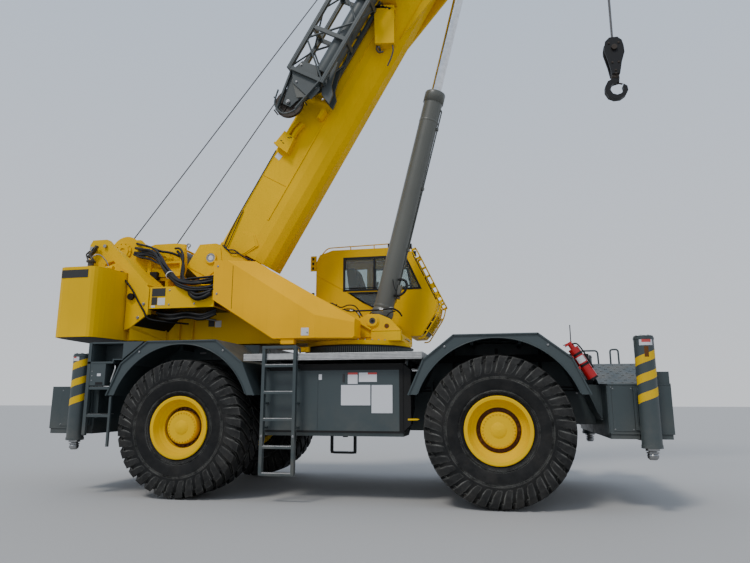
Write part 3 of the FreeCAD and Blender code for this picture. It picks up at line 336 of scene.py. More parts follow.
class Bag:
    """Plain shapes of one finish on one body, joined into one mesh."""

    def __init__(self, body, mat, tag=""):
        self.body, self.mat, self.tag = body, mat, tag
        self.v, self.f, self.smooth, self.m = [], [], [], None

    def add(self, verts, faces, smooth=False):
        k = len(self.v)
        if self.m is not None:
            verts = [self.m @ Vector(p) for p in verts]
        self.v.extend([tuple(p) for p in verts])
        self.f.extend([[k + i for i in f] for f in faces])
        self.smooth.extend([smooth] * len(faces))

    def box(self, x0, x1, y0, y1, z0, z1):
        v = [(x, y, z) for z in (z0, z1) for y in (y0, y1) for x in (x0, x1)]
        self.add(v, [(0, 2, 3, 1), (4, 5, 7, 6), (0, 1, 5, 4), (2, 6, 7, 3), (0, 4, 6, 2), (1, 3, 7, 5)])

    def block(self, a, b, w, h, up=(0, 0, 1)):
        """A bar from a to b, w wide and h high about its line."""
        a, b, up = Vector(a), Vector(b), Vector(up)
        d = (b - a).normalized()
        s = d.cross(up)
        if s.length < 1e-6:
            s = d.cross(Vector((1, 0, 0)))
        s.normalize()
        t = s.cross(d)
        v = [p + s * (w / 2 * i) + t * (h / 2 * j) for p in (a, b) for i, j in ((-1, -1), (1, -1), (1, 1), (-1, 1))]
        self.add(v, [(0, 1, 2, 3), (7, 6, 5, 4), (0, 4, 5, 1), (1, 5, 6, 2), (2, 6, 7, 3), (3, 7, 4, 0)])

    def prism(self, pts, plane, lo, hi):
        """An outline on XY, XZ or YZ, from lo to hi along the third axis."""
        def at(a, b, c):
            return {"XY": (a, b, c), "XZ": (a, c, b), "YZ": (c, a, b)}[plane]
        n = len(pts)
        v = [at(a, b, lo) for a, b in pts] + [at(a, b, hi) for a, b in pts]
        f = [list(range(n))[::-1], list(range(n, 2 * n))]
        f += [(i, (i + 1) % n, n + (i + 1) % n, n + i) for i in range(n)]
        self.add(v, f)

    def rod(self, a, b, r, n=12, r2=None, caps=True):
        a, b = Vector(a), Vector(b)
        r2 = r if r2 is None else r2
        d = (b - a).normalized()
        s = d.orthogonal().normalized()
        t = d.cross(s)
        v = []
        for p, q in ((a, r), (b, r2)):
            for i in range(n):
                g = 2 * math.pi * i / n
                v.append(p + s * (q * math.cos(g)) + t * (q * math.sin(g)))
        self.add(v, [(i, (i + 1) % n, n + (i + 1) % n, n + i) for i in range(n)], True)
        if caps:
            self.add(v[:n], [list(range(n))[::-1]])
            self.add(v[n:], [list(range(n))])

    def ring(self, centre, axis, r0, r1, h, n=32):
        """A flat ring with a rectangular section, h thick along axis."""
        c, d = Vector(centre), Vector(axis).normalized()
        s = d.orthogonal().normalized()
        t = d.cross(s)
        v = []
        for r, z in ((r0, 0), (r1, 0), (r1, h), (r0, h)):
            for i in range(n):
                g = 2 * math.pi * i / n
                v.append(c + d * z + s * (r * math.cos(g)) + t * (r * math.sin(g)))
        for a in range(4):
            b = (a + 1) % 4
            self.add([v[a * n + i] for i in range(n)] + [v[b * n + i] for i in range(n)],
                     [(i, (i + 1) % n, n + (i + 1) % n, n + i) for i in range(n)], a in (1, 3))

    def lathe(self, origin, axis, prof, n=32, smooth=True):
        """prof is (distance along axis, radius)."""
        c, d = Vector(origin), Vector(axis).normalized()
        s = d.orthogonal().normalized()
        t = d.cross(s)
        v = []
        for z, r in prof:
            for i in range(n):
                g = 2 * math.pi * i / n
                v.append(c + d * z + s * (r * math.cos(g)) + t * (r * math.sin(g)))
        f = [(a * n + i, a * n + (i + 1) % n, (a + 1) * n + (i + 1) % n, (a + 1) * n + i)
             for a in range(len(prof) - 1) for i in range(n)]
        self.add(v, f, smooth)

    def tube(self, pts, r, n=10, per=6, closed=False):
        """A bent pipe that passes through pts."""
        path = through([Vector(p) for p in pts], per)
        v, f = [], []
        side = None
        for k, p in enumerate(path):
            d = (path[min(k + 1, len(path) - 1)] - path[max(k - 1, 0)]).normalized()
            if side is None:
                side = d.orthogonal().normalized()
            side = (side - d * side.dot(d)).normalized()
            t = d.cross(side)
            for i in range(n):
                g = 2 * math.pi * i / n
                v.append(p + side * (r * math.cos(g)) + t * (r * math.sin(g)))
        for k in range(len(path) - 1):
            f += [(k * n + i, k * n + (i + 1) % n, (k + 1) * n + (i + 1) % n, (k + 1) * n + i) for i in range(n)]
        self.add(v, f, True)
        self.add(v[:n], [list(range(n))[::-1]])
        self.add(v[-n:], [list(range(n))])

    def bent(self, pts, r, n=10, bend=0.06):
        """A pipe of straight runs with rounded corners, as a handrail has."""
        pts = [Vector(p) for p in pts]
        out = [pts[0]]
        for k in range(1, len(pts) - 1):
            a, b, c = pts[k - 1], pts[k], pts[k + 1]
            m = min(bend, (b - a).length * 0.45, (c - b).length * 0.45)
            p, q = b + (a - b).normalized() * m, b + (c - b).normalized() * m
            for i in range(5):
                u = i / 4
                out.append(p * (1 - u) ** 2 + b * (2 * u * (1 - u)) + q * u ** 2)
        out.append(pts[-1])
        v, f = [], []
        side = None
        for k, p in enumerate(out):
            d = (out[min(k + 1, len(out) - 1)] - out[max(k - 1, 0)]).normalized()
            side = d.orthogonal().normalized() if side is None else (side - d * side.dot(d)).normalized()
            t = d.cross(side)
            for i in range(n):
                g = 2 * math.pi * i / n
                v.append(p + side * (r * math.cos(g)) + t * (r * math.sin(g)))
        for k in range(len(out) - 1):
            f += [(k * n + i, k * n + (i + 1) % n, (k + 1) * n + (i + 1) % n, (k + 1) * n + i) for i in range(n)]
        self.add(v, f, True)
        self.add(v[:n], [list(range(n))[::-1]])
        self.add(v[-n:], [list(range(n))])

    def bolt(self, p, axis, r, h):
        """A hexagon head on a washer."""
        p, d = Vector(p), Vector(axis).normalized()
        self.rod(p, p + d * (h * 0.25), r * 1.35, 12)
        s = d.orthogonal().normalized()
        t = d.cross(s)
        v = []
        for z in (h * 0.25, h):
            for i in range(6):
                g = math.pi * i / 3
                v.append(p + d * z + s * (r * math.cos(g)) + t * (r * math.sin(g)))
        self.add(v, [(i, (i + 1) % 6, 6 + (i + 1) % 6, 6 + i) for i in range(6)] + [(6, 7, 8, 9, 10, 11)])


def through(pts, per):
    """A smooth line through the points, per steps between each two."""
    out = []
    n = len(pts)
    for k in range(n - 1):
        p0, p1, p2, p3 = pts[max(k - 1, 0)], pts[k], pts[k + 1], pts[min(k + 2, n - 1)]
        for i in range(per):
            u = i / per
            out.append(0.5 * ((2 * p1) + (p2 - p0) * u + (2 * p0 - 5 * p1 + 4 * p2 - p3) * u * u
                              + (3 * p1 - p0 - 3 * p2 + p3) * u * u * u))
    out.append(pts[-1])
    return out


def bag(body, mat, tag=""):
    key = (body, mat, tag)
    if key not in BAGS:
        BAGS[key] = Bag(body, mat, tag)
    BAGS[key].m = None
    return BAGS[key]


def mesh_of(name, verts, faces, smooth, mat):
    me = bpy.data.meshes.new(name)
    me.from_pydata(verts, [], faces)
    me.materials.append(M[mat])
    me.polygons.foreach_set("use_smooth", smooth)
    me.update()
    o = bpy.data.objects.new(name, me)
    bpy.context.scene.collection.objects.link(o)
    return o


# ------------------------------------------------------------------ places that the frame fixes
AX, TR, WY, KY = 2.030, 0.890, 1.250, 0.950
PIN = Vector((-2.248, 0.0, 3.400))
ANG = math.radians(60.3)
BOOM = Matrix.Translation(PIN) @ Matrix.Rotation(-ANG, 4, "Y")


def boom(x, y, z):
    """A point along the boom, to its left, above the foot pin's line."""
    return BOOM @ Vector((x, y, z))


# ------------------------------------------------------------------ tyres
def lug_tyre(node, body, centre, s):
    """Carcass with rounded shoulders and two rows of slanted blocks. s, the side that faces out, is not used."""
    cx, cy, cz = centre
    prof = [(-0.298, 0.372), (-0.318, 0.400), (-0.340, 0.440), (-0.356, 0.500), (-0.366, 0.580), (-0.368, 0.660), (-0.360, 0.730),
            (-0.344, 0.790), (-0.318, 0.826), (-0.270, 0.842), (-0.15, 0.850), (0, 0.852), (0.15, 0.850), (0.270, 0.842),
            (0.318, 0.826), (0.344, 0.790), (0.360, 0.730), (0.368, 0.660), (0.366, 0.580), (0.356, 0.500), (0.340, 0.440),
            (0.318, 0.400), (0.298, 0.372)]
    n = 96
    v, f, wear = [], [], []
    for y, r in prof:
        for i in range(n):
            g = 2 * math.pi * i / n
            v.append((cx + r * math.cos(g), cy + y, cz + r * math.sin(g)))
            wear.append(0.0)
    f += [(a * n + i, a * n + (i + 1) % n, (a + 1) * n + (i + 1) % n, (a + 1) * n + i)
          for a in range(len(prof) - 1) for i in range(n)]
    smooth = [True] * len(f)
    # station: place across, inner radius, outer radius, share of the slant, half-width in degrees
    STATIONS = [(0.3640, 0.665, 0.665, -0.26, 2.60), (0.3690, 0.690, 0.695, -0.19, 3.00), (0.3700, 0.730, 0.735, -0.11, 3.25),
                (0.3650, 0.790, 0.805, -0.03, 3.35), (0.3480, 0.800, 0.866, 0.05, 3.35), (0.3180, 0.815, 0.8785, 0.12, 3.30),
                (0.2400, 0.835, 0.8850, 0.34, 3.20), (0.1400, 0.842, 0.8875, 0.62, 3.10), (0.0350, 0.845, 0.8890, 0.92, 2.85)]
    count, slant = 36, 15.0
    for row in (-1, 1):
        for i in range(count):
            base = 360.0 * i / count + (0 if row > 0 else 180.0 / count) + random.uniform(-0.35, 0.35)
            worn = random.uniform(0.0, 0.004)
            k = len(v)
            for y, r0, r1, share, hw in STATIONS:
                r1 -= worn if r1 > 0.85 else 0.0
                mid = base + slant * share * row * 1.0
                # a block stands straight out from the tread, and sideways out from the sidewall
                if r1 - r0 < 0.03:
                    corners = [(r1, mid - hw, y - 0.03), (r1, mid - hw + 0.3, y), (r1, mid + hw - 0.3, y), (r1, mid + hw, y - 0.03)]
                else:
                    corners = [(r0, mid - hw - 0.35, y), (r1, mid - hw, y), (r1, mid + hw, y), (r0, mid + hw + 0.35, y)]
                for j, (r, a, yy) in enumerate(corners):
                    g = math.radians(a)
                    v.append((cx + r * math.cos(g), cy + row * yy, cz + r * math.sin(g)))
                    wear.append(1.0 if j in (1, 2) else 0.1)
            for a in range(len(STATIONS) - 1):
                for j in range(3):
                    q = (k + a * 4 + j, k + a * 4 + j + 1, k + (a + 1) * 4 + j + 1, k + (a + 1) * 4 + j)
                    f.append(q if row < 0 else q[::-1])
                    smooth.append(False)
            last = k + (len(STATIONS) - 1) * 4
            f.append((k, k + 1, k + 2, k + 3)[::row])
            f.append((last, last + 1, last + 2, last + 3)[::-row])
            smooth += [False, False]
    # raised rings on the sidewalls
    for row in (-1, 1):
        for r, dy in ((0.455, 0.350), (0.615, 0.371)):
            k = len(v)
            for rr, yy in ((r - 0.012, dy - 0.01), (r - 0.006, dy + 0.003), (r + 0.006, dy + 0.003), (r + 0.012, dy - 0.01)):
                for i in range(n):
                    g = 2 * math.pi * i / n
                    v.append((cx + rr * math.cos(g), cy + row * min(yy, 0.3695), cz + rr * math.sin(g)))
                    wear.append(0.15)
            for a in range(3):
                for i in range(n):
                    q = (k + a * n + i, k + a * n + (i + 1) % n, k + (a + 1) * n + (i + 1) % n, k + (a + 1) * n + i)
                    f.append(q if row > 0 else q[::-1])
                    smooth.append(True)
    o = mesh_of(node + "_lugs", v, f, smooth, "rubber")
    at = o.data.attributes.new("wear", "FLOAT", "POINT")
    at.data.foreach_set("value", wear)
    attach(o, body)
    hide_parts(node)


for end, sx in (("front", 1), ("rear", -1)):
    for side, s in (("right", -1), ("left", 1)):
        lug_tyre("tyre_%s_%s" % (end, side), "wheel_%s_%s" % (end, side), (sx * AX, s * WY, TR), s)
        # wheel trim: a dark brown ring painted as the shade in the dish's deep recess, the studs standing in it in the
        # same painted shade; hub bolts
        body = "wheel_%s_%s" % (end, side)
        b = bag(body, "brown_ring")
        c = Vector((sx * AX, s * WY, TR))
        out = Vector((0, s, 0))
        b.ring(c + out * 0.1503, out, 0.2138, 0.2636, 0.0008, 64)
        y = bag(body, "yellow_rim")
        y.lathe(c, out, [(0.2545, 0.092), (0.262, 0.078), (0.267, 0.056), (0.273, 0.030), (0.277, 0.0)], 32)
        for i in range(30):
            g = 2 * math.pi * i / 30
            y.bolt(c + out * 0.2505 + Vector((math.cos(g), 0, math.sin(g))) * 0.187, out, 0.0075, 0.012)
        for i in range(12):
            g = 2 * math.pi * i / 12
            at_ = c + Vector((math.cos(g), 0, math.sin(g))) * 0.238
            b.rod(at_ + out * 0.1503, at_ + out * 0.1750, 0.0142, 16)
            g += math.pi / 12
            at_ = c + Vector((math.cos(g), 0, math.sin(g))) * 0.238
            b.rod(at_ + out * 0.1503, at_ + out * 0.1680, 0.0130, 12)
        # balance of small fittings: valve
        y.rod(c + out * 0.150 + Vector((0.288, 0, 0.05)), c + out * 0.185 + Vector((0.300, 0, 0.055)), 0.007, 8)

# ------------------------------------------------------------------ boom: folded lattice extension
def bb(body, mat, tag=""):
    """A bag whose shapes are given in the boom's own directions."""
    b = bag(body, mat, tag)
    b.m = BOOM
    return b


b = bb("boom_base", "slate", "jib")
# the round tube of the inner stage on the boom's side, with its collars
b.rod((3.34, -0.612, -0.150), (10.16, -0.612, -0.150), 0.146, 40)
for x in (3.34, 5.35, 7.45, 10.06):
    b.rod((x, -0.612, -0.150), (x + 0.06, -0.612, -0.150), 0.158, 40)
# X-braces on the near side and on the two sides across
n, x0, x1 = 13, 3.18, 10.2
step = (x1 - x0) / n
for i in range(n):
    a, c = x0 + i * step, x0 + (i + 1) * step
    if i % 2:
        a, c = c, a
    for y in (-0.80, -0.43):
        b.rod((a, y, -0.29), (c, y, 0.32), 0.017, 6)
    for z in (-0.29, 0.32):
        b.rod((a, -0.80, z), (c, -0.43, z), 0.015, 6)
# round skins over the square chords
for y in (-0.80, -0.43):
    for z in (-0.29, 0.32):
        b.rod((3.15, y, z), (10.25, y, z), 0.034, 10)
# tip: side plate, guards round the sheave, pins
b.prism([(2.86, -0.26), (3.05, -0.31), (3.38, -0.06), (3.36, 0.20), (3.16, 0.27), (2.98, 0.15)], "XZ", -0.775, -0.755)
b.prism([(2.94, -0.52), (3.10, -0.50), (3.22, -0.40), (3.60, -0.30), (3.60, -0.20), (3.20, -0.24), (3.02, -0.34)], "XZ", -0.50, -0.46)
b.prism([(2.94, -0.52), (3.10, -0.50), (3.22, -0.40), (3.60, -0.30), (3.60, -0.20), (3.20, -0.24), (3.02, -0.34)], "XZ", -0.70, -0.66)
for g in range(-60, 200, 52):
    a = math.radians(g)
    p = (2.70 + 0.252 * math.cos(a), -0.705, 0.10 + 0.252 * math.sin(a))
    b.rod(p, (p[0], -0.545, p[2]), 0.012, 8)
b.block((2.50, -0.705, 0.20), (3.25, -0.705, 0.33), 0.03, 0.05, (0, 1, 0))
b.block((2.50, -0.545, 0.20), (3.25, -0.545, 0.33), 0.03, 0.05, (0, 1, 0))
b.block((2.62, -0.80, -0.13), (3.20, -0.80, -0.26), 0.02, 0.06, (0, 1, 0))
b.tube([(2.78, -0.79, 0.30), (2.55, -0.80, 0.22), (2.47, -0.80, 0.02), (2.60, -0.80, -0.13), (2.80, -0.80, -0.17)], 0.014, 8)
c = bb("boom_base", "cylinder", "jib")
c.prism([(2.80, -0.02), (2.92, -0.27), (3.30, -0.13), (3.34, 0.06), (3.24, 0.25), (3.02, 0.20)], "XZ", -0.752, -0.742)
c.ring((2.70, -0.655, 0.10), (0, 1, 0), 0.155, 0.170, 0.050, 40)
st = bb("boom_base", "steel", "jib")
st.bolt((2.70, -0.700, 0.10), (0, -1, 0), 0.026, 0.03)
for x, z in ((3.06, -0.24), (3.30, 0.18), (3.02, 0.10), (3.20, -0.05), (2.96, -0.40), (3.30, -0.28)):
    st.bolt((x, -0.775, z) if z > -0.25 else (x, -0.70, z), (0, -1, 0), 0.014, 0.016)
# sheave's web: spokes and rim
sh = bag("jib_sheave", "sheave")
sh.m = BOOM
for g in range(0, 360, 60):
    a = math.radians(g)
    sh.block((2.70 + 0.05 * math.cos(a), -0.6535, 0.10 + 0.05 * math.sin(a)), (2.70 + 0.19 * math.cos(a), -0.6535, 0.10 + 0.19 * math.sin(a)), 0.004, 0.030, (0, 1, 0))
sh.ring((2.70, -0.658, 0.10), (0, 1, 0), 0.190, 0.229, 0.006, 48)
sh.ring((2.70, -0.608, 0.10), (0, 1, 0), 0.190, 0.229, 0.006, 48)
sh.ring((2.70, -0.660, 0.10), (0, 1, 0), 0.030, 0.062, 0.060, 24)

# ------------------------------------------------------------------ boom: brackets, covers, wear pads
y = bb("boom_base", "yellow", "trim")
# stowing bracket at the top edge: a small slotted box, its arm up to the extension's tip, a bare plate below
y.prism([(2.035, -0.180), (2.285, -0.165), (2.325, 0.050), (2.085, 0.092)], "XZ", -0.440, -0.332)
y.prism([(2.015, -0.192), (2.045, -0.192), (2.100, 0.100), (2.068, 0.104)], "XZ", -0.452, -0.332)
for za, zb in ((-0.030, -0.012), (-0.125, -0.107)):
    y.prism([(2.28, za - 0.012), (2.42, za - 0.020), (2.56, za - 0.060), (2.56, zb - 0.040), (2.43, zb + 0.012), (2.30, zb + 0.016)], "XZ", -0.432, -0.356)
y.prism([(2.30, -0.15), (2.52, -0.13), (2.58, -0.07), (2.36, 0.02)], "XZ", -0.372, -0.362)
y.box(2.74, 2.90, -0.47, -0.33, -0.40, -0.34)
v_ = bb("boom_base", "void", "slots")
for x, z in ((2.130, -0.040), (2.150, 0.010), (2.245, -0.075), (2.265, -0.105)):
    v_.box(x, x + 0.014, -0.4412, -0.4395, z - 0.018, z + 0.018)
sw = bb("boom_base", "plate_white", "plate")
sw.prism([(1.875, -0.070), (1.960, -0.085), (1.985, 0.015), (1.900, 0.030)], "XZ", -0.3345, -0.3312)
# holding box for the extension, farther up, slotted on top
y.box(4.23, 4.80, -0.47, -0.331, -0.60, -0.585)
y.prism([(4.20, -0.58), (4.33, -0.86), (4.86, -0.56), (4.80, -0.26), (4.74, -0.25)], "XZ", -0.475, -0.460)
y.prism([(4.74, -0.25), (4.80, -0.26), (4.91, -0.53), (4.86, -0.56)], "XZ", -0.475, -0.331)
y.prism([(4.86, -0.26), (4.98, -0.52), (4.99, -0.50), (4.87, -0.24)], "XZ", -0.60, -0.331)
for i in range(4):
    y.box(4.30 + i * 0.13, 4.315 + i * 0.13, -0.47, -0.331, -0.80 + i * 0.06, -0.585)
y.block((4.20, -0.40, -0.585), (4.33, -0.40, -0.86), 0.13, 0.014, (0.9, 0, 0.4))
for i in range(4):
    v_.prism([(4.80 + i * 0.004, -0.285 - i * 0.062), (4.835 + i * 0.004, -0.300 - i * 0.062), (4.825 + i * 0.004, -0.330 - i * 0.062), (4.790 + i * 0.004, -0.315 - i * 0.062)], "XZ", -0.4765, -0.4745)
hk = bb("boom_base", "iron", "hooks")
hk.bent([(4.22, -0.42, -0.60), (4.14, -0.44, -0.63), (4.10, -0.44, -0.70), (4.15, -0.44, -0.76)], 0.014, 8, 0.03)
hk.rod((4.18, -0.46, -0.66), (4.18, -0.34, -0.66), 0.020, 10)
hk.bent([(4.30, -0.44, -0.84), (4.22, -0.45, -0.90), (4.10, -0.45, -0.93), (3.96, -0.44, -0.94)], 0.012, 8, 0.03)
# cover plate at the foot, doublers along the side's lower seam, seams across
y.prism([(0.125, -0.20), (0.30, -0.38), (0.52, -0.50), (0.647, -0.357), (0.60, -0.16), (0.40, -0.10)], "XZ", -0.338, -0.330)
y.prism([(0.15, -0.21), (0.31, -0.36), (0.51, -0.47), (0.62, -0.35), (0.575, -0.175), (0.41, -0.125)], "XZ", -0.344, -0.338)
for s in (-1, 1):
    a, c2 = sorted((s * 0.3305, s * 0.3375))
    y.box(0.95, 9.26, a, c2, -0.432, -0.404)
    y.prism([(5.9, -0.42), (6.25, -0.52), (7.15, -0.52), (7.35, -0.42), (7.2, -0.20), (5.95, -0.20)], "XZ", a, c2)
    for x in (1.55, 3.05, 4.55, 7.60):
        y.box(x, x + 0.012, a, s * 0.333 if s > 0 else a + 0.0045, -0.40, 0.04)
# pins of the lift cylinder's bracket
st = bb("boom_base", "steel", "trim")
for s in (-1, 1):
    st.rod((6.45, s * 0.2255, -1.02), (6.45, s * 0.262, -1.02), 0.082, 24)
    st.box(6.30, 6.60, *sorted((s * 0.226, s * 0.236)), -1.045, -0.995)
    st.bolt((6.35, s * 0.236, -1.02), (0, s, 0), 0.014, 0.014)
    st.bolt((6.55, s * 0.236, -1.02), (0, s, 0), 0.014, 0.014)
    for i in range(8):
        st.bolt((9.31 + 0.035 * i, s * 0.352, -0.10 - 0.0 * i), (0, s, 0), 0.010, 0.010)
bk = bb("boom_base", "black", "trim")
for s in (-1, 1):
    a, c2 = sorted((s * 0.3525, s * 0.366))
    for z in (0.02, -0.42):
        bk.box(9.36, 9.52, a, c2, z - 0.09, z)
bk.box(9.34, 9.54, -0.24, -0.10, 0.1125, 0.126)
bk.box(9.34, 9.54, 0.12, 0.24, 0.1125, 0.126)
# cables and clips down the boom's left side, with the length sensor's reel
bk.ring((1.60, 0.3315, -0.22), (0, 1, 0), 0.05, 0.19, 0.05, 32)
bk.rod((1.60, 0.3315, -0.22), (1.60, 0.40, -0.22), 0.06, 20)
bk.rod((1.70, 0.352, -0.05), (9.30, 0.360, -0.02), 0.006, 6)
for x in (2.6, 3.8, 5.0, 6.2, 7.4, 8.6):
    bk.box(x, x + 0.03, 0.331, 0.372, -0.055, -0.02)
bk.tube([(-0.05, -0.345, 0.02), (0.16, -0.347, -0.01), (0.42, -0.347, 0.03), (0.80, -0.345, 0.055), (1.4, -0.340, 0.06), (2.0, -0.338, 0.065)], 0.009, 7)
bk.tube([(-0.08, -0.349, -0.02), (0.20, -0.350, -0.05), (0.50, -0.349, -0.02), (0.90, -0.345, 0.03)], 0.007, 6)

# rollers that carry the hoist ropes over each section's head
HEADS = [("boom_base", 9.45, 0.112), ("boom_mid", 9.72, 0.064), ("boom_outer", 9.91, 0.018)]
ROPE1 = [0.360, 0.351, 0.345, 0.310]
ROPE2 = [0.165, 0.190, 0.215, 0.310]
for k, (body, x, top) in enumerate(HEADS):
    y = bb(body, "yellow", "rollers")
    w = bb(body, "steel", "rollers")
    for s in (-1, 1):
        yy = s * 0.20
        y.prism([(x - 0.05, top - 0.004), (x + 0.05, top - 0.004), (x + 0.02, ROPE1[k] + 0.02), (x - 0.02, ROPE1[k] + 0.02)], "XZ", yy - 0.006, yy + 0.006)
    w.rod((x, -0.205, ROPE1[k] - 0.020), (x, 0.205, ROPE1[k] - 0.020), 0.013, 10)
    w.rod((x, -0.205, ROPE2[k] - 0.020), (x, 0.205, ROPE2[k] - 0.020), 0.013, 10)
    if k:
        for s in (-1, 1):
            wy = 0.330 - 0.045 * k + 0.018
            for i in range(3):
                w.bolt((x - 0.03 + 0.03 * i, s * wy, -0.12), (0, s, 0), 0.008, 0.008)

# nose: sheave guards, pin caps, bars across the nose
y = bb("boom_fly", "yellow", "nose")
w = bb("boom_fly", "steel", "nose")
for s in (-1, 1):
    w.rod((11.0, s * 0.226, -0.60), (11.0, s * 0.262, -0.60), 0.075, 24)
    w.rod((10.94, s * 0.196, 0.145), (10.94, s * 0.225, 0.145), 0.05, 20)
    for g in range(0, 360, 60):
        a = math.radians(g)
        w.bolt((11.0 + 0.055 * math.cos(a), s * 0.262, -0.60 + 0.055 * math.sin(a)), (0, s, 0), 0.009, 0.009)
    y.prism([(10.35, -0.45), (10.75, -0.50), (10.90, -0.72), (10.55, -0.74)], "XZ", *sorted((s * 0.1955, s * 0.2035)))
w.rod((11.22, -0.19, -0.40), (11.22, 0.19, -0.40), 0.012, 10)
w.rod((11.14, -0.19, -0.76), (11.14, 0.19, -0.76), 0.012, 10)
w.rod((11.20, -0.19, 0.10), (11.20, 0.19, 0.10), 0.014, 10)

# the jib sheave's neighbours done, the main boom's next sections get their pads
for body, half, x in (("boom_mid", 0.285, 9.70), ("boom_outer", 0.240, 9.89)):
    k = bb(body, "black", "pads")
    for s in (-1, 1):
        a, c2 = sorted((s * (half + 0.018), s * (half + 0.028)))
        k.box(x - 0.03, x + 0.06, a, c2, -0.42, -0.34)

# ------------------------------------------------------------------ hoist ropes, straight in every pose
def line(name, a, b, r, n=8):
    """A rope with points only at its ends, so it stays straight between two bodies."""
    g = Bag(None, None)
    g.rod(a, b, r, n)
    o = mesh_of(name, g.v, g.f, g.smooth, "rope")
    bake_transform(o)
    return o


R_ROPE = 0.0095
stops1 = [boom(9.45, -0.012, ROPE1[0]), boom(9.72, -0.012, ROPE1[1]), boom(9.91, -0.012, ROPE1[2]), boom(10.94, -0.012, ROPE1[3])]
stops2 = [boom(9.45, 0.05, ROPE2[0]), boom(9.72, 0.05, ROPE2[1]), boom(9.91, 0.05, ROPE2[2]), boom(10.94, 0.012, ROPE2[3])]


def leave(cx, cz, to, r=0.2665):
    """The point where a rope to a place leaves a drum, over its back."""
    d = Vector((to.x - cx, to.z - cz))
    far = d.length
    d.normalize()
    n = Vector((-d.y, d.x))
    c = r / far
    t = d * (r * c) + n * (r * math.sqrt(1 - c * c))
    return Vector((cx + t.x, to.y, cz + t.y))


DR1, DR2 = leave(-3.860, 3.610, stops1[0]), leave(-3.110, 3.440, stops2[0])
for k, (first, stops) in enumerate(((DR1, stops1), (DR2, stops2))):
    pts = [first] + stops
    for i in range(4):
        line("hoist_rope_%d_%d" % (k + 1, i), pts[i], pts[i + 1], R_ROPE)
w = bb("boom_fly", "rope", "nose")
for yy in (-0.012, 0.012):
    arc = [(10.94 + 0.165 * math.sin(math.radians(g)), yy, 0.145 + 0.170 * math.cos(math.radians(g))) for g in range(0, 100, 12)]
    w.tube(arc + [(11.135, yy * 4, -0.15), (11.175, yy * 8, -0.42)], R_ROPE, 8, 3)

# falls between the nose and the block
NS = boom(11.0, 0.0, -0.60)
HX = NS.x + 0.226
for i, (yy, yb) in enumerate(((-0.095, -0.032), (0.095, 0.032))):
    line("falls_rope_%d" % i, Vector((HX, yy, NS.z - 0.90)), Vector((HX, yb, 6.640)), 0.0105)

# hook block: sheave, cheek bolts, latch
k = bag("hook_block", "black")
k.ring((HX, -0.030, 6.476), (0, 1, 0), 0.085, 0.124, 0.060, 36)
w = bag("hook_block", "sheave")
for s in (-1, 1):
    w.rod((HX, s * 0.0805, 6.476), (HX, s * 0.112, 6.476), 0.042, 20)
    for dx, dz in ((-0.07, -0.10), (0.07, -0.10), (0.0, -0.55), (0.0, -0.60), (-0.04, -0.42), (0.05, -0.42)):
        w.bolt((HX + dx, s * 0.0805, 6.651 + dz), (0, s, 0), 0.013, 0.014)
w.rod((HX, -0.06, 6.050), (HX, 0.06, 6.050), 0.055, 20)
k = bag("hook", "sheave")
k.lathe((HX, 0, 6.042), (0, 0, -1), [(0.0, 0.060), (0.045, 0.060), (0.055, 0.048), (0.075, 0.048)], 28)
k.block((HX + 0.095, 0, 5.905), (HX - 0.045, 0, 5.948), 0.030, 0.012)

# rope on the drums
for body, cx, cz in (("aux_drum", -3.860, 3.610), ("main_drum", -3.110, 3.440)):
    w = bag(body, "rope")
    prof, p = [], -0.296
    while p < 0.296:
        for g in (0, 45, 90, 135):
            prof.append((p + 0.011 - 0.011 * math.cos(math.radians(g)), 0.246 + 0.011 * math.sin(math.radians(g))))
        p += 0.022
    w.lathe((cx, 0, cz), (0, 1, 0), prof + [(0.296, 0.244)], 40)
    w = bag(body, "yellow")
    for s in (-1, 1):
        w.ring((cx, s * 0.318, cz), (0, s, 0), 0.10, 0.268, 0.016, 48)
        for i in range(8):
            a = 2 * math.pi * i / 8
            w.bolt((cx + 0.15 * math.cos(a), s * 0.334, cz + 0.15 * math.sin(a)), (0, s, 0), 0.012, 0.012)

# ------------------------------------------------------------------ lift cylinder
CP = Vector((0.310, 0.0, 2.350))
U = boom(6.45, 0.0, -1.02)
UC = (U - CP).normalized()
CANG = math.atan2(UC.z, UC.x)
CYL = Matrix.Translation(CP) @ Matrix.Rotation(-CANG, 4, "Y")
g = bag("lift_barrel", "cylinder")
g.m = CYL
g.lathe((0, 0, 0), (1, 0, 0), [(0.262, 0.150), (0.270, 0.153), (0.300, 0.153), (0.310, 0.1495)], 48)
g.lathe((0, 0, 0), (1, 0, 0), [(3.640, 0.150), (3.646, 0.1640), (3.800, 0.1640), (3.812, 0.158), (3.8155, 0.120), (3.8155, 0.0865)], 48)
g.lathe((0, 0, 0), (1, 0, 0), [(3.300, 0.1492), (3.306, 0.1525), (3.330, 0.1525), (3.336, 0.1492)], 48)
g.box(0.45, 0.66, -0.05, 0.05, -0.20, -0.145)
k = bag("lift_barrel", "black")
k.m = CYL
k.lathe((0, 0, 0), (1, 0, 0), [(3.8155, 0.0875), (3.8170, 0.0905), (3.8170, 0.0835)], 40)
w = bag("lift_barrel", "steel")
w.m = CYL
g.rod((0.60, 0, -0.155), (3.52, 0, -0.168), 0.011, 8)
g.rod((3.52, 0, -0.168), (3.55, 0, -0.150), 0.011, 8)
for x in (1.2, 2.2, 3.2):
    g.box(x, x + 0.04, -0.022, 0.022, -0.183, -0.148)
for i in range(12):
    a = 2 * math.pi * i / 12
    w.bolt((3.8155, 0.118 * math.cos(a), 0.118 * math.sin(a)), (1, 0, 0), 0.009, 0.0015)

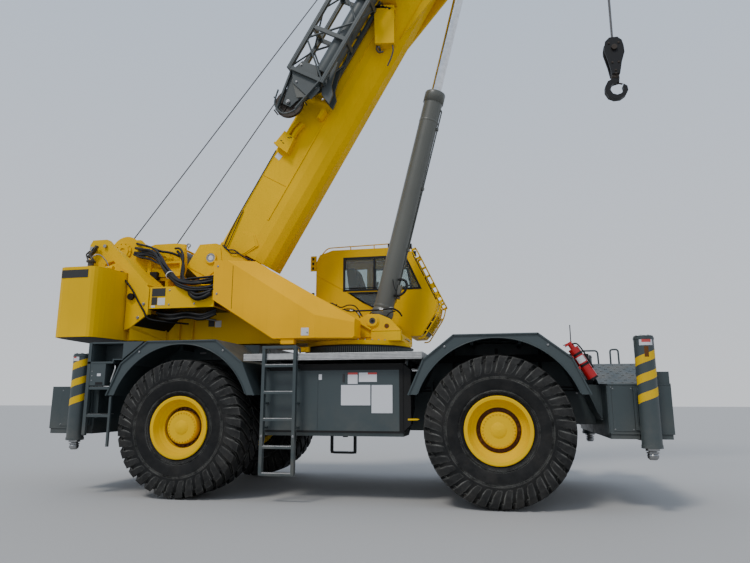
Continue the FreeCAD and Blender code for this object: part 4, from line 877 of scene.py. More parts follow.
# ------------------------------------------------------------------ superstructure: counterweight and its arms
ROOT, SUP = "root", "superstructure"
y, k, w = bag(SUP, "yellow"), bag(SUP, "black"), bag(SUP, "steel")
pw, pk = bag(SUP, "plate_white"), bag(SUP, "plate_black")
pk.box(-3.955, -3.535, -1.6235, -1.6205, 2.930, 3.045)


def card(b, p, q, z0, z1, off=0.003):
    """A thin plate on an upright face that runs from p to q in plan."""
    p, q = Vector((p[0], p[1], 0)), Vector((q[0], q[1], 0))
    n = (q - p).cross(Vector((0, 0, 1))).normalized() * off
    v = [Vector((t.x, t.y, z)) + m for m in (Vector((0, 0, 0)), n) for t, z in ((p, z0), (q, z0), (q, z1), (p, z1))]
    b.add(v, [(0, 3, 2, 1), (4, 5, 6, 7), (0, 1, 5, 4), (1, 2, 6, 5), (2, 3, 7, 6), (3, 0, 4, 7)])


A_, B_ = Vector((-3.440, -1.560, 0)), Vector((-3.370, -1.400, 0))
card(pw, A_.lerp(B_, 0.10), A_.lerp(B_, 0.95), 2.15, 2.31)
# pins, lifting links and clips on the counterweight's top
ir = bag(SUP, "iron")
for s in (-1, 1):
    ir.rod((-3.83, s * 1.20, 3.09), (-3.83, s * 1.20, 3.25), 0.042, 20)
    ir.rod((-3.83, s * 1.20, 3.25), (-3.83, s * 1.20, 3.275), 0.066, 20)
    w.rod((-3.87, s * 1.072, 3.47), (-3.87, s * 1.16, 3.47), 0.034, 20)
    w.rod((-3.70, s * 1.062, 3.52), (-3.70, s * 1.10, 3.52), 0.026, 20)
    ir.block((-3.93, s * 1.13, 3.34), (-3.80, s * 1.13, 3.52), 0.03, 0.06, (0, 1, 0))
    ir.block((-3.80, s * 1.16, 3.25), (-3.90, s * 1.16, 3.40), 0.02, 0.05, (0, 1, 0))
    w.tube([(-3.83, s * 1.20, 3.27), (-3.78, s * 1.22, 3.34), (-3.70, s * 1.18, 3.36), (-3.62, s * 1.12, 3.26), (-3.58, s * 1.10, 3.14)], 0.010, 6)
    ir.tube([(-3.90, s * 1.18, 3.30), (-3.94, s * 1.17, 3.38), (-3.90, s * 1.15, 3.44)], 0.012, 6)
    y.box(-3.74, -3.52, *sorted((s * 1.10, s * 1.24)), 3.09, 3.15)
    y.rod((-3.64, s * 1.10, 3.17), (-3.52, s * 1.10, 3.17), 0.035, 16)
    for x in (-3.70, -3.56):
        w.bolt((x, s * 1.20, 3.15), (0, 0, 1), 0.014, 0.014)
    # bright edge strip along the arm, and bolts
    y.prism([(-3.10, 2.55), (-3.00, 2.55), (-3.00, 2.84), (-3.18, 3.02)], "XZ", *sorted((s * 0.70, s * 0.712)))
    for x, z in ((-3.90, 3.20), (-3.90, 3.45), (-3.08, 2.42), (-3.00, 2.62)):
        w.bolt((x, s * 1.06, z), (0, s, 0), 0.018, 0.018)
    # hollow under the beams: black panels painted as the shade on the beams' dark undersides, and a yellow closing
    # plate
    k.add([(-3.150, s * 1.045, 2.306), (-2.928, s * 1.045, 2.466), (-2.711, s * 0.502, 2.475), (-2.899, s * 0.502, 2.262)], [(0, 1, 2, 3)])
    y.add([(-3.205, s * 1.046, 2.100), (-2.895, s * 0.502, 2.100), (-2.895, s * 0.502, 2.262), (-3.150, s * 1.046, 2.304), (-3.205, s * 1.046, 2.268)], [(0, 1, 2, 3, 4)])
    k.add([(-2.926, s * 1.045, 2.540), (-1.90 if s < 0 else -2.31, s * 1.045, 2.540), (-1.90 if s < 0 else -2.31, s * 0.502, 2.540), (-2.926, s * 0.502, 2.540)], [(0, 1, 2, 3)])
y.box(-3.90, -3.60, -0.9, 0.9, 3.091, 3.10)
for x in (-3.95, -3.62):
    for yy in (-0.75, 0.75):
        w.ring((x, yy - 0.012, 3.15), (0, 1, 0), 0.030, 0.055, 0.024, 20)

# turret beam: blank plates, seam, bolts
pk.box(-2.880, -2.665, -1.0535, -1.050, 2.725, 2.845)
pk.box(-2.880, -2.790, -1.0535, -1.050, 2.600, 2.715)
pw.box(-2.780, -2.665, -1.0535, -1.050, 2.595, 2.700)
pw.box(-2.880, -2.820, -1.0536, -1.050, 2.562, 2.592)
for x in (-2.60, -2.2):
    for z in (2.60, 2.81):
        w.bolt((x, -1.05, z), (0, -1, 0), 0.011, 0.010)
pk.box(-2.24, -2.14, -0.5035, -0.500, 2.33, 2.44)
pw.box(-2.13, -2.03, -0.5035, -0.500, 2.32, 2.42)

# turret plates: pin caps, doublers, ribs, edge trim
for s in (-1, 1):
    pale = bag(SUP, "plate_white")
    pale.rod((-2.248, s * 0.525, 3.400), (-2.248, s * 0.533, 3.400), 0.040, 28)
    w.ring((-2.248, s * 0.525, 3.400), (0, s, 0), 0.046, 0.072, 0.010, 32)
    y.ring((-2.248, s * 0.525, 3.400), (0, s, 0), 0.072, 0.092, 0.012, 32)
    for i in range(4):
        a = math.pi / 4 + i * math.pi / 2
        w.bolt((-2.248 + 0.059 * math.cos(a), s * 0.535, 3.400 + 0.059 * math.sin(a)), (0, s, 0), 0.006, 0.006)
    y.ring((0.310, s * 0.525, 2.350), (0, s, 0), 0.046, 0.078, 0.012, 32)
    ir.rod((0.310, s * 0.525, 2.350), (0.310, s * 0.534, 2.350), 0.046, 24)
    k.rod((0.310, s * 0.534, 2.350), (0.310, s * 0.537, 2.350), 0.022, 16)
    y.rod((0.310, s * 0.130, 2.350), (0.310, s * 0.155, 2.350), 0.020, 8)
    lo, hi = sorted((s * 0.500, s * 0.512))
    y.prism([(-2.62, 3.27), (-2.46, 3.55), (-2.30, 3.60), (-2.10, 3.55), (-2.06, 3.28), (-2.30, 3.10)], "XZ", lo, hi)
    y.prism([(0.10, 2.12), (0.66, 2.12), (0.66, 2.20), (0.52, 2.33), (0.40, 2.44), (0.22, 2.44), (0.05, 2.30)], "XZ", lo, hi)
    bag(SUP, "brown_ring").rod((0.515, s * 0.512, 2.275), (0.515, s * 0.516, 2.275), 0.034, 24)
    y.box(0.295, 0.725, *sorted((s * 0.500, s * 0.560)), 2.195, 2.212)
    y.box(0.295, 0.725, *sorted((s * 0.545, s * 0.560)), 2.062, 2.20)
    if s < 0:
        y.prism([(0.300, 2.212), (0.300, 2.238), (-0.140, 2.494), (-0.140, 2.468)], "XZ", -0.560, -0.500)
    for x in (-2.92, -2.70, -2.48):
        y.box(x, x + 0.012, *sorted((s * 0.500, s * 0.560)), 2.11, 2.52)
    w.tube([(-2.60, s * 0.515, 2.62), (-2.50, s * 0.55, 2.50), (-2.35, s * 0.56, 2.46), (-2.10, s * 0.54, 2.42)], 0.016, 7)
# black cable along the turret's upper edge
h = bag(SUP, "hose")
h.tube([(-2.07, -0.506, 3.600), (-1.98, -0.520, 3.52), (-1.86, -0.525, 3.50), (-1.72, -0.520, 3.40), (-1.56, -0.515, 3.32), (-1.42, -0.512, 3.21)], 0.011, 7)
h.tube([(-2.02, -0.506, 3.575), (-1.92, -0.530, 3.46), (-1.78, -0.530, 3.44), (-1.62, -0.520, 3.33)], 0.008, 6)
for x, z in ((-1.35, 3.155), (-0.98, 2.955), (-0.60, 2.765), (-0.25, 2.585)):
    h.rod((x, -0.47, z), (x, -0.47, z + 0.03), 0.022, 10)

# hoist hoses: a bundle that sags from the hoists to the housing
base_path = [(-3.62, -0.44, 3.570), (-3.44, -0.53, 3.520), (-3.26, -0.58, 3.500), (-3.08, -0.66, 3.430), (-2.86, -0.84, 3.230),
             (-2.66, -0.99, 3.050), (-2.46, -1.085, 2.900), (-2.24, -1.115, 2.820), (-2.04, -1.110, 2.815), (-1.895, -1.080, 2.850)]
for i, (dy, dz, r) in enumerate(((0, 0, 0.025), (-0.020, 0.040, 0.021), (0.020, 0.055, 0.022), (0.012, -0.040, 0.022), (-0.022, -0.058, 0.018), (0.036, 0.012, 0.020), (0.020, 0.090, 0.017))):
    pts = []
    for j, p in enumerate(base_path):
        m = (0.55 + 0.40 * math.sin(i * 1.7 + j * 0.9)) if 3 < j < 7 else (1.1 + 0.7 * math.sin(i * 1.3 + j * 0.8))
        q = Vector(p) + Vector((0.02 * math.sin(i + j), abs(dy) * (1 if dy > 0 else -0.6) * m, dz * m))
        q.y = max(q.y, -1.150)
        if p[0] > -2.60:
            q.y = min(q.y, -1.05 - r - 0.003)
        pts.append(q)
    h.tube(pts, r, 9, 5)
h.tube([(-2.86, -0.46, 3.55), (-2.72, -0.56, 3.42), (-2.60, -0.70, 3.22), (-2.50, -0.86, 3.02), (-2.30, -0.98, 2.92), (-1.90, -1.02, 2.93)], 0.022, 8)
h.tube([(-2.90, -0.46, 3.60), (-2.76, -0.55, 3.56), (-2.66, -0.62, 3.40), (-2.62, -0.72, 3.10), (-2.46, -0.9, 2.95), (-1.90, -0.98, 2.98)], 0.018, 8)
h.tube([(-3.28, -0.44, 3.62), (-3.12, -0.52, 3.55), (-2.95, -0.50, 3.52), (-2.80, -0.46, 3.46)], 0.020, 8)
h.tube([(-1.93, -1.09, 2.74), (-2.02, -1.115, 2.68), (-2.13, -1.115, 2.665), (-2.23, -1.09, 2.72), (-2.26, -1.09, 2.79)], 0.036, 9)
h.tube([(-1.92, -1.10, 2.77), (-2.04, -1.13, 2.725), (-2.14, -1.13, 2.72), (-2.24, -1.10, 2.77)], 0.024, 9)
pw.ring((-2.650, -0.990, 3.052), (0.72, -0.38, -0.58), 0.056, 0.064, 0.012, 24)
h.tube([(-3.34, -1.075, 3.00), (-3.20, -1.085, 2.85), (-3.08, -1.080, 2.66), (-2.98, -1.085, 2.52), (-2.90, -1.07, 2.40), (-2.70, -0.98, 2.36), (-2.4, -0.8, 2.34)], 0.014, 7)
h.rod((-3.20, -1.068, 2.73), (-3.20, -1.105, 2.73), 0.050, 14)
for i, (z, r) in enumerate(((2.50, 0.026), (2.44, 0.022), (2.47, 0.018))):
    h.tube([(-2.85, -0.95 + 0.03 * i, z), (-2.6, -0.98, z - 0.05), (-2.35, -0.97 + 0.02 * i, z - 0.02), (-2.1, -0.99, z - 0.06), (-1.90, -0.95, z + 0.02)], r, 8)

# shade under the counterweight
half = [(-4.108, 0.50), (-4.077, 0.995), (-4.033, 1.393), (-3.980, 1.580), (-3.920, 1.610), (-3.490, 1.610), (-3.457, 1.598),
        (-3.424, 1.558), (-3.397, 1.500), (-3.374, 1.432), (-3.357, 1.352), (-3.345, 1.260), (-3.335, 1.160), (-3.320, 1.050),
        (-3.306, 0.950), (-3.190, 0.950)]
bag(SUP, "void", "cw_shade").prism([(x, -y_) for x, y_ in half] + [(x, y_) for x, y_ in half[::-1]], "XY", 2.0925, 2.0945)

# hoists: motors, brake housings, base feet, guards
for cx, cz in ((-3.860, 3.610), (-3.110, 3.440)):
    for s in (-1, 1):
        y.ring((cx, s * 0.400, cz), (0, s, 0), 0.0, 0.150, 0.020, 28)
        y.ring((cx, s * 0.420, cz), (0, s, 0), 0.050, 0.105, 0.014, 28)
        for i in range(10):
            a = 2 * math.pi * i / 10
            y.bolt((cx + 0.130 * math.cos(a), s * 0.420, cz + 0.130 * math.sin(a)), (0, s, 0), 0.010, 0.010)
    k.rod((cx, 0.420, cz), (cx, 0.560, cz), 0.075, 20)
    k.box(cx - 0.06, cx + 0.06, 0.540, 0.600, cz - 0.05, cz + 0.05)
y.box(-3.06, -2.80, -0.452, -0.400, 3.36, 3.40)
y.box(-3.36, -3.30, -0.470, -0.400, 3.15, 3.62)
y.box(-2.80, -2.735, -0.470, -0.400, 3.15, 3.60)
y.prism([(-3.30, 3.15), (-2.80, 3.15), (-2.80, 3.22), (-3.30, 3.30)], "XZ", -0.452, -0.440)
w.ring((-2.93, -0.012, 3.765), (0, 1, 0), 0.022, 0.036, 0.024, 18)
w.rod((-2.93, 0.0, 3.70), (-2.93, 0.0, 3.745), 0.012, 8)
y.rod((-4.04, -0.36, 3.62), (-4.04, 0.36, 3.62), 0.018, 10)
y.rod((-2.80, -0.36, 3.60), (-2.80, 0.36, 3.60), 0.018, 10)
k.box(-3.55, -3.40, -0.55, -0.42, 3.10, 3.26)
k.box(-3.28, -3.16, -0.52, -0.42, 3.10, 3.22)
for yy in (-0.43, 0.43):
    for x in (-3.95, -3.5, -3.1):
        w.bolt((x, yy * 0.93, 3.145), (0, 0, 1), 0.016, 0.02)

# turret floor: valve block, swivel, pipes in the trough
k.box(-0.95, -0.62, -0.20, 0.20, 2.105, 2.30)
w.rod((-0.30, 0, 2.105), (-0.30, 0, 2.24), 0.14, 28)
w.rod((-0.30, 0, 2.24), (-0.30, 0, 2.33), 0.09, 24)
for i in range(5):
    h.tube([(-0.62, -0.16 + 0.08 * i, 2.22), (-0.50, -0.16 + 0.08 * i, 2.30), (-0.40, -0.05 + 0.025 * i, 2.28)], 0.014, 7)
for i in range(4):
    w.rod((-2.95, -0.36 + 0.05 * i, 2.125), (-0.95, -0.36 + 0.05 * i, 2.125), 0.012, 7)

# housing: seams, plate, latch, lower flange, bolts
yw = bag(SUP, "yellow_warm")
yw.box(-0.86, -0.67, -1.085, -0.99, 1.992, 2.066)
pw.box(-0.560, -0.452, -1.1085, -1.105, 2.100, 2.205)
k.box(-1.60, -1.593, -1.1062, -1.104, 2.50, 3.12)
for x, z in ((-1.83, 3.12), (-1.83, 2.72), (-0.47, 2.14)):
    w.bolt((x, -1.105, z), (0, -1, 0), 0.012, 0.010)
# left housing: door seams, grille, handle, bolts
for x in (-1.55,):
    k.box(x, x + 0.006, 1.179, 1.182, 2.14, 2.68)
for i in range(9):
    k.box(-2.24, -1.72, 1.179, 1.184, 2.42 + i * 0.05, 2.445 + i * 0.05)
w.box(-1.50, -1.38, 1.180, 1.200, 2.40, 2.43)
for x, z in ((-2.27, 2.13), (-2.27, 2.92), (-1.01, 2.13), (-1.01, 2.66)):
    w.bolt((x, 1.180, z), (0, 1, 0), 0.012, 0.010)

# small drive of the slewing ring, and the ring's fixing bolts
yr = bag(ROOT, "yellow")
yr.box(-0.670, -0.520, -0.880, -0.800, 1.895, 1.965)
yr.rod((-0.595, -0.880, 1.930), (-0.595, -0.905, 1.930), 0.030, 14)
for i in range(48):
    a = 2 * math.pi * (i + 0.5) / 48
    w.bolt((0.755 * math.cos(a), 0.755 * math.sin(a), 2.061 if abs(0.755 * math.sin(a)) > 0.51 else 2.105), (0, 0, 1), 0.014, 0.016)

# ------------------------------------------------------------------ cab
YI = 0.560


def frame_ring(b, pts, plane, lo, hi, width):
    """A flat ring that follows an outline inwards."""
    n = len(pts)
    cx, cz = sum(p[0] for p in pts) / n, sum(p[1] for p in pts) / n
    inner = []
    for i in range(n):
        p0, p1, p2 = Vector(pts[i - 1]), Vector(pts[i]), Vector(pts[(i + 1) % n])
        e1, e2 = (p1 - p0).normalized(), (p2 - p1).normalized()
        n1, n2 = Vector((-e1.y, e1.x)), Vector((-e2.y, e2.x))
        if n1.dot(Vector((cx, cz)) - p1) < 0:
            n1, n2 = -n1, -n2
        m = (n1 + n2).normalized()
        inner.append(p1 + m * (width / max(0.35, m.dot(n1))))
    for i in range(n):
        j = (i + 1) % n
        b.prism([pts[i], pts[j], tuple(inner[j]), tuple(inner[i])], plane, lo, hi)


WIN = [(-0.415, 2.990), (0.320, 2.990), (0.320, 3.565), (-0.415, 3.565)]
WIN2 = [(0.385, 2.990), (0.890, 2.990), (0.632, 3.560), (0.385, 3.560)]
LOWP = [(-0.345, 2.975), (0.345, 2.975), (0.137, 2.683), (-0.068, 2.788)]
for o_, wd in ((WIN, 0.032), (WIN2, 0.030), (LOWP, 0.028)):
    frame_ring(k, o_, "XZ", YI - 0.006, YI + 0.020, wd)
k.box(0.095, 0.125, YI - 0.004, YI + 0.018, 3.02, 3.54)
k.box(-0.38, 0.30, YI - 0.004, YI + 0.016, 3.040, 3.052)
k.box(0.320, 0.385, YI - 0.003, YI + 0.002, 2.99, 3.56)
WL = [(-0.785, 2.925), (-0.155, 2.925), (-0.155, 3.565), (-0.712, 3.565), (-0.785, 3.450)]
frame_ring(k, WL, "XZ", 1.375, 1.386, 0.034)
DW = [(-0.060, 2.900), (0.610, 2.900), (0.655, 2.960), (0.540, 3.540), (-0.060, 3.540)]
d = bag("cab_door", "black")
frame_ring(d, DW, "XZ", 1.391, 1.428, 0.030)
d.box(0.20, 0.226, 1.396, 1.424, 2.93, 3.51)
g = bag("cab_door", "glass")
g.prism([(-0.055, 2.905), (0.606, 2.905), (0.650, 2.962), (0.536, 3.535), (-0.055, 3.535)], "XZ", 1.408, 1.412)
d.bent([(0.50, 1.424, 2.50), (0.50, 1.470, 2.50), (0.50, 1.470, 2.80), (0.50, 1.424, 2.80)], 0.011, 8, 0.03)
w2 = bag("cab_door", "steel")
w2.box(-0.13, 0.60, 1.424, 1.432, 2.385, 2.40)
w2.box(-0.12, 0.58, 1.424, 1.430, 3.572, 3.590)
# sliding rails on the cab's side
w.box(-0.80, 0.62, 1.380, 1.389, 3.606, 3.622)
w.box(-0.80, 0.60, 1.380, 1.389, 2.346, 2.360)
# windscreen frame, wiper, front guard of slotted bars with round holes
SC = [(1.095, 2.800), (0.745, 3.575)]


def scr(t, y_, off):
    p = Vector((1.1005, 0, 2.815)).lerp(Vector((0.742, 0, 3.560)), t)
    n = Vector((0.901, 0, 0.433))
    q = p + n * off
    return (q.x, y_, q.z)


for ya, yb in ((0.655, 0.685), (1.255, 1.285)):
    v = [scr(t, yy, o_) for o_ in (0.0, 0.014) for t, yy in ((0, ya), (0, yb), (1, yb), (1, ya))]
    k.add(v, [(0, 3, 2, 1), (4, 5, 6, 7), (0, 1, 5, 4), (1, 2, 6, 5), (2, 3, 7, 6), (3, 0, 4, 7)])
for ta, tb in ((-0.01, 0.035), (0.965, 1.01)):
    v = [scr(t, yy, o_) for o_ in (0.0, 0.014) for t, yy in ((ta, 0.655), (ta, 1.285), (tb, 1.285), (tb, 0.655))]
    k.add(v, [(0, 3, 2, 1), (4, 5, 6, 7), (0, 1, 5, 4), (1, 2, 6, 5), (2, 3, 7, 6), (3, 0, 4, 7)])
k.block(scr(0.02, 0.97, 0.03), scr(0.62, 1.12, 0.03), 0.012, 0.014)
k.block(scr(0.40, 1.05, 0.022), scr(0.86, 1.14, 0.022), 0.020, 0.010)
# guard rails: two slanted strips a side, pierced, with cross ties
for yy in (0.575, 1.345):
    lo_, hi_ = yy - 0.007, yy + 0.007
    for o0, o1 in ((0.020, 0.034), (0.088, 0.104)):
        a0, a1, b1, b0 = scr(-0.10, yy, o0), scr(1.10, yy, o0), scr(1.10, yy, o1), scr(-0.10, yy, o1)
        y.prism([(a0[0], a0[2]), (a1[0], a1[2]), (b1[0], b1[2]), (b0[0], b0[2])], "XZ", lo_, hi_)
    for share in (0.0, 0.09, 0.155, 0.275, 0.325, 0.475, 0.83, 1.0):
        t = -0.09 + share * 1.18
        a0, a1, b1, b0 = scr(t - 0.022, yy, 0.024), scr(t + 0.022, yy, 0.024), scr(t + 0.022, yy, 0.100), scr(t - 0.022, yy, 0.100)
        y.prism([(a0[0], a0[2]), (a1[0], a1[2]), (b1[0], b1[2]), (b0[0], b0[2])], "XZ", lo_, hi_)
    for t in (-0.03, 0.50, 1.06):
        y.block(scr(t, yy, -0.01), scr(t, yy, 0.03), 0.014, 0.030, (0, 0, 1))
    y.bent([scr(-0.06, yy, 0.096), (1.170, yy, 2.640), (1.135, yy, 2.560), (0.905, yy, 2.205), (0.820, yy, 2.200)], 0.011, 8, 0.05)
    y.bent([scr(-0.05, yy, 0.030), (1.120, yy, 2.650), (1.090, yy, 2.585), (0.885, yy, 2.262)], 0.009, 8, 0.04)
    for p_, q_ in (((1.150, yy, 2.590), (1.100, yy, 2.605)), ((1.060, yy, 2.450), (1.010, yy, 2.470)), ((0.975, yy, 2.318), (0.925, yy, 2.335))):
        y.block(p_, q_, 0.012, 0.022)
for t in (-0.08, 1.08):
    y.block(scr(t, 0.575, 0.096), scr(t, 1.345, 0.096), 0.016, 0.020)
for zz, xx in ((2.560, 1.130), (2.318, 0.978)):
    y.rod((xx, 0.575, zz), (xx, 1.345, zz), 0.009, 8)
for i in range(11):
    y_ = 0.64 + i * 0.064
    y.rod((1.120, y_, 2.560), (0.970, y_, 2.322), 0.005, 6)
# roof: rail, edge drip, roof window frame and slotted guard
for yy in (0.60, 1.34):
    y.bent([(-0.80, yy, 3.640), (-0.70, yy, 3.752), (0.40, yy, 3.775), (0.66, yy, 3.690)], 0.010, 8, 0.06)
    for x, z in ((-0.30, 3.762), (0.10, 3.770)):
        y.rod((x, yy, 3.700), (x, yy, z), 0.009, 8)
for i in range(7):
    k.box(-0.36 + i * 0.115, -0.345 + i * 0.115, 0.70, 1.24, 3.702, 3.722)
for yy in (0.69, 1.24):
    k.box(-0.40, 0.44, yy, yy + 0.016, 3.700, 3.724)
k.rod((0.36, 0.62, 3.70), (0.36, 0.62, 3.78), 0.035, 16)
# rear bracket with slots, rear window frame
y.box(-0.985, -0.885, 0.575, 0.587, 3.36, 3.62)
for i in range(3):
    k.box(-0.960, -0.925, 0.5745, 0.5750, 3.385 + i * 0.08, 3.430 + i * 0.08)
for a, c2, e, f2 in ((0.665, 1.275, 2.935, 2.965), (0.665, 1.275, 3.415, 3.445), (0.665, 0.695, 2.935, 3.445), (1.245, 1.275, 2.935, 3.445)):
    k.box(-0.8865, -0.880, a, c2, e, f2)
# body crease on the near side, nose grilles, step
g_ = bag(SUP, "plastic", "grille")
yc = [(-0.880, 3.293), (-0.345, 2.990), (0.030, 2.731), (0.16, 2.60)]
for a, c2 in zip(yc, yc[1:]):
    y.block((a[0], YI - 0.002, a[1]), (c2[0], YI - 0.002, c2[1]), 0.014, 0.008, (0, 1, 0))
k.prism([(0.905, 2.285), (0.925, 2.275), (1.065, 2.525), (1.045, 2.545)], "XZ", 0.64, 1.30)
k.prism([(0.70, 2.246), (0.86, 2.252), (0.86, 2.262), (0.70, 2.256)], "XZ", 0.60, 1.34)
# mirror on the left front corner, worklights under the guard
k.bent([(0.78, 1.35, 3.30), (0.86, 1.46, 3.32), (0.86, 1.46, 3.05)], 0.010, 8, 0.04)
k.box(0.835, 0.885, 1.38, 1.54, 2.86, 3.12)
bag(SUP, "mirror").box(0.832, 0.8355, 1.39, 1.53, 2.87, 3.11)
for yy in (0.70, 1.22):
    k.box(0.64, 0.72, yy - 0.05, yy + 0.05, 3.705, 3.775)
    bag(SUP, "lamp_clear").box(0.7195, 0.7225, yy - 0.043, yy + 0.043, 3.712, 3.768)
# inside: seat cushions, arm rests with levers, console with screen, wheel, pedals
def cushion(name, pts, y0, y1, r):
    g2 = Bag(None, None)
    n = len(pts)
    c0 = Vector((sum(p[0] for p in pts) / n, 0, sum(p[1] for p in pts) / n))
    rings = []
    for t, sc in ((0.0, 0.80), (0.06, 0.93), (0.16, 1.0), (0.84, 1.0), (0.94, 0.93), (1.0, 0.80)):
        rings.append([(c0.x + (p[0] - c0.x) * sc, y0 + (y1 - y0) * t, c0.z + (p[1] - c0.z) * sc) for p in pts])
    v = [p for rr in rings for p in rr]
    f = [(a * n + i, a * n + (i + 1) % n, (a + 1) * n + (i + 1) % n, (a + 1) * n + i) for a in range(len(rings) - 1) for i in range(n)]
    f += [tuple(range(n))[::-1], tuple(range((len(rings) - 1) * n, len(rings) * n))]
    g2.add(v, f, True)
    o = mesh_of(name, g2.v, g2.f, g2.smooth, "seat")
    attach(o, SUP)


cushion("seat_base", [(-0.27, 2.862), (-0.25, 2.925), (-0.10, 2.945), (0.12, 2.950), (0.20, 2.930), (0.225, 2.880), (0.20, 2.862)], 0.755, 1.185, 0.02)
cushion("seat_back", [(-0.150, 2.952), (-0.110, 3.02), (-0.175, 3.22), (-0.235, 3.40), (-0.275, 3.415), (-0.262, 3.35), (-0.205, 3.14), (-0.166, 2.975)], 0.765, 1.175, 0.02)
for yy in (0.715, 1.215):
    k.box(-0.16, 0.14, yy - 0.03, yy + 0.03, 2.981, 3.015)
    k.rod((0.10, yy, 3.01), (0.125, yy, 3.10), 0.010, 8)
    k.lathe((0.125, yy, 3.09), (0.2, 0, 1), [(0, 0.008), (0.01, 0.020), (0.05, 0.024), (0.075, 0.016), (0.08, 0.0)], 12)
k.rod((0.60, 0.95, 2.80), (0.50, 0.95, 3.02), 0.025, 14)
wheel_c, wheel_n = Vector((0.49, 0.95, 3.04)), Vector((-0.42, 0, 0.91)).normalized()
ss = wheel_n.orthogonal().normalized()
tt = wheel_n.cross(ss)
k.tube([wheel_c + ss * (0.19 * math.cos(2 * math.pi * i / 20)) + tt * (0.19 * math.sin(2 * math.pi * i / 20)) for i in range(21)], 0.014, 8, 2)
for i in range(3):
    a = 2 * math.pi * i / 3
    k.rod(wheel_c, wheel_c + ss * (0.185 * math.cos(a)) + tt * (0.185 * math.sin(a)), 0.009, 8)
pl = bag(SUP, "plastic")
pl.block((0.72, 0.72, 2.93), (0.72, 1.02, 2.93), 0.03, 0.24, (0.3, 0, 1))
bag(SUP, "void").block((0.7035, 0.74, 2.93), (0.7035, 1.00, 2.93), 0.004, 0.19, (0.3, 0, 1))
for yy in (0.80, 1.02):
    k.block((0.62, yy, 2.44), (0.72, yy, 2.52), 0.09, 0.015, (0, 0, 1))

# lift cylinder's foot: hoses, fittings, valve block
h.tube([(-0.40, -0.36, 2.640), (-0.32, -0.40, 2.640), (-0.20, -0.41, 2.545), (-0.03, -0.41, 2.522), (0.20, -0.41, 2.520), (0.42, -0.41, 2.527), (0.57, -0.40, 2.540), (0.66, -0.36, 2.500), (0.70, -0.30, 2.440)], 0.013, 8)
h.tube([(-0.36, -0.38, 2.600), (-0.18, -0.43, 2.575), (-0.07, -0.44, 2.604), (0.04, -0.44, 2.580), (0.13, -0.44, 2.450), (0.18, -0.44, 2.370), (0.25, -0.42, 2.385), (0.29, -0.36, 2.45)], 0.009, 8)
h.tube([(-0.22, -0.40, 2.545), (-0.02, -0.44, 2.545), (0.07, -0.45, 2.480), (0.12, -0.45, 2.400), (0.18, -0.45, 2.375), (0.23, -0.44, 2.430), (0.26, -0.38, 2.50)], 0.008, 8)
h.tube([(0.27, -0.44, 2.430), (0.32, -0.45, 2.350), (0.37, -0.45, 2.330), (0.46, -0.44, 2.365), (0.54, -0.43, 2.470), (0.62, -0.40, 2.500)], 0.010, 8)
w.rod((-0.045, -0.425, 2.521), (0.005, -0.425, 2.521), 0.019, 10)
w.rod((0.075, -0.450, 2.486), (0.110, -0.450, 2.440), 0.015, 10)
w.rod((0.395, -0.412, 2.526), (0.445, -0.412, 2.528), 0.019, 10)
lb_ = bag("lift_barrel", "hose", "line")
lb_.tube([(0.545, -0.148, 3.02), (0.56, -0.160, 2.92), (0.60, -0.150, 2.80), (0.585, -0.140, 2.66)], 0.007, 6)
lb_.m = CYL
lb_.tube([(0.735, -0.08, -0.140), (0.735, -0.11, -0.235), (0.68, -0.115, -0.285), (0.59, -0.115, -0.285), (0.52, -0.115, -0.245), (0.485, -0.11, -0.190), (0.48, -0.08, -0.140)], 0.019, 9)
bag("lift_barrel", "steel", "line").rod((0.50, -0.158, 2.585), (0.545, -0.175, 2.575), 0.022, 10)
k.box(-0.34, -0.22, -0.42, -0.35, 2.54, 2.60)

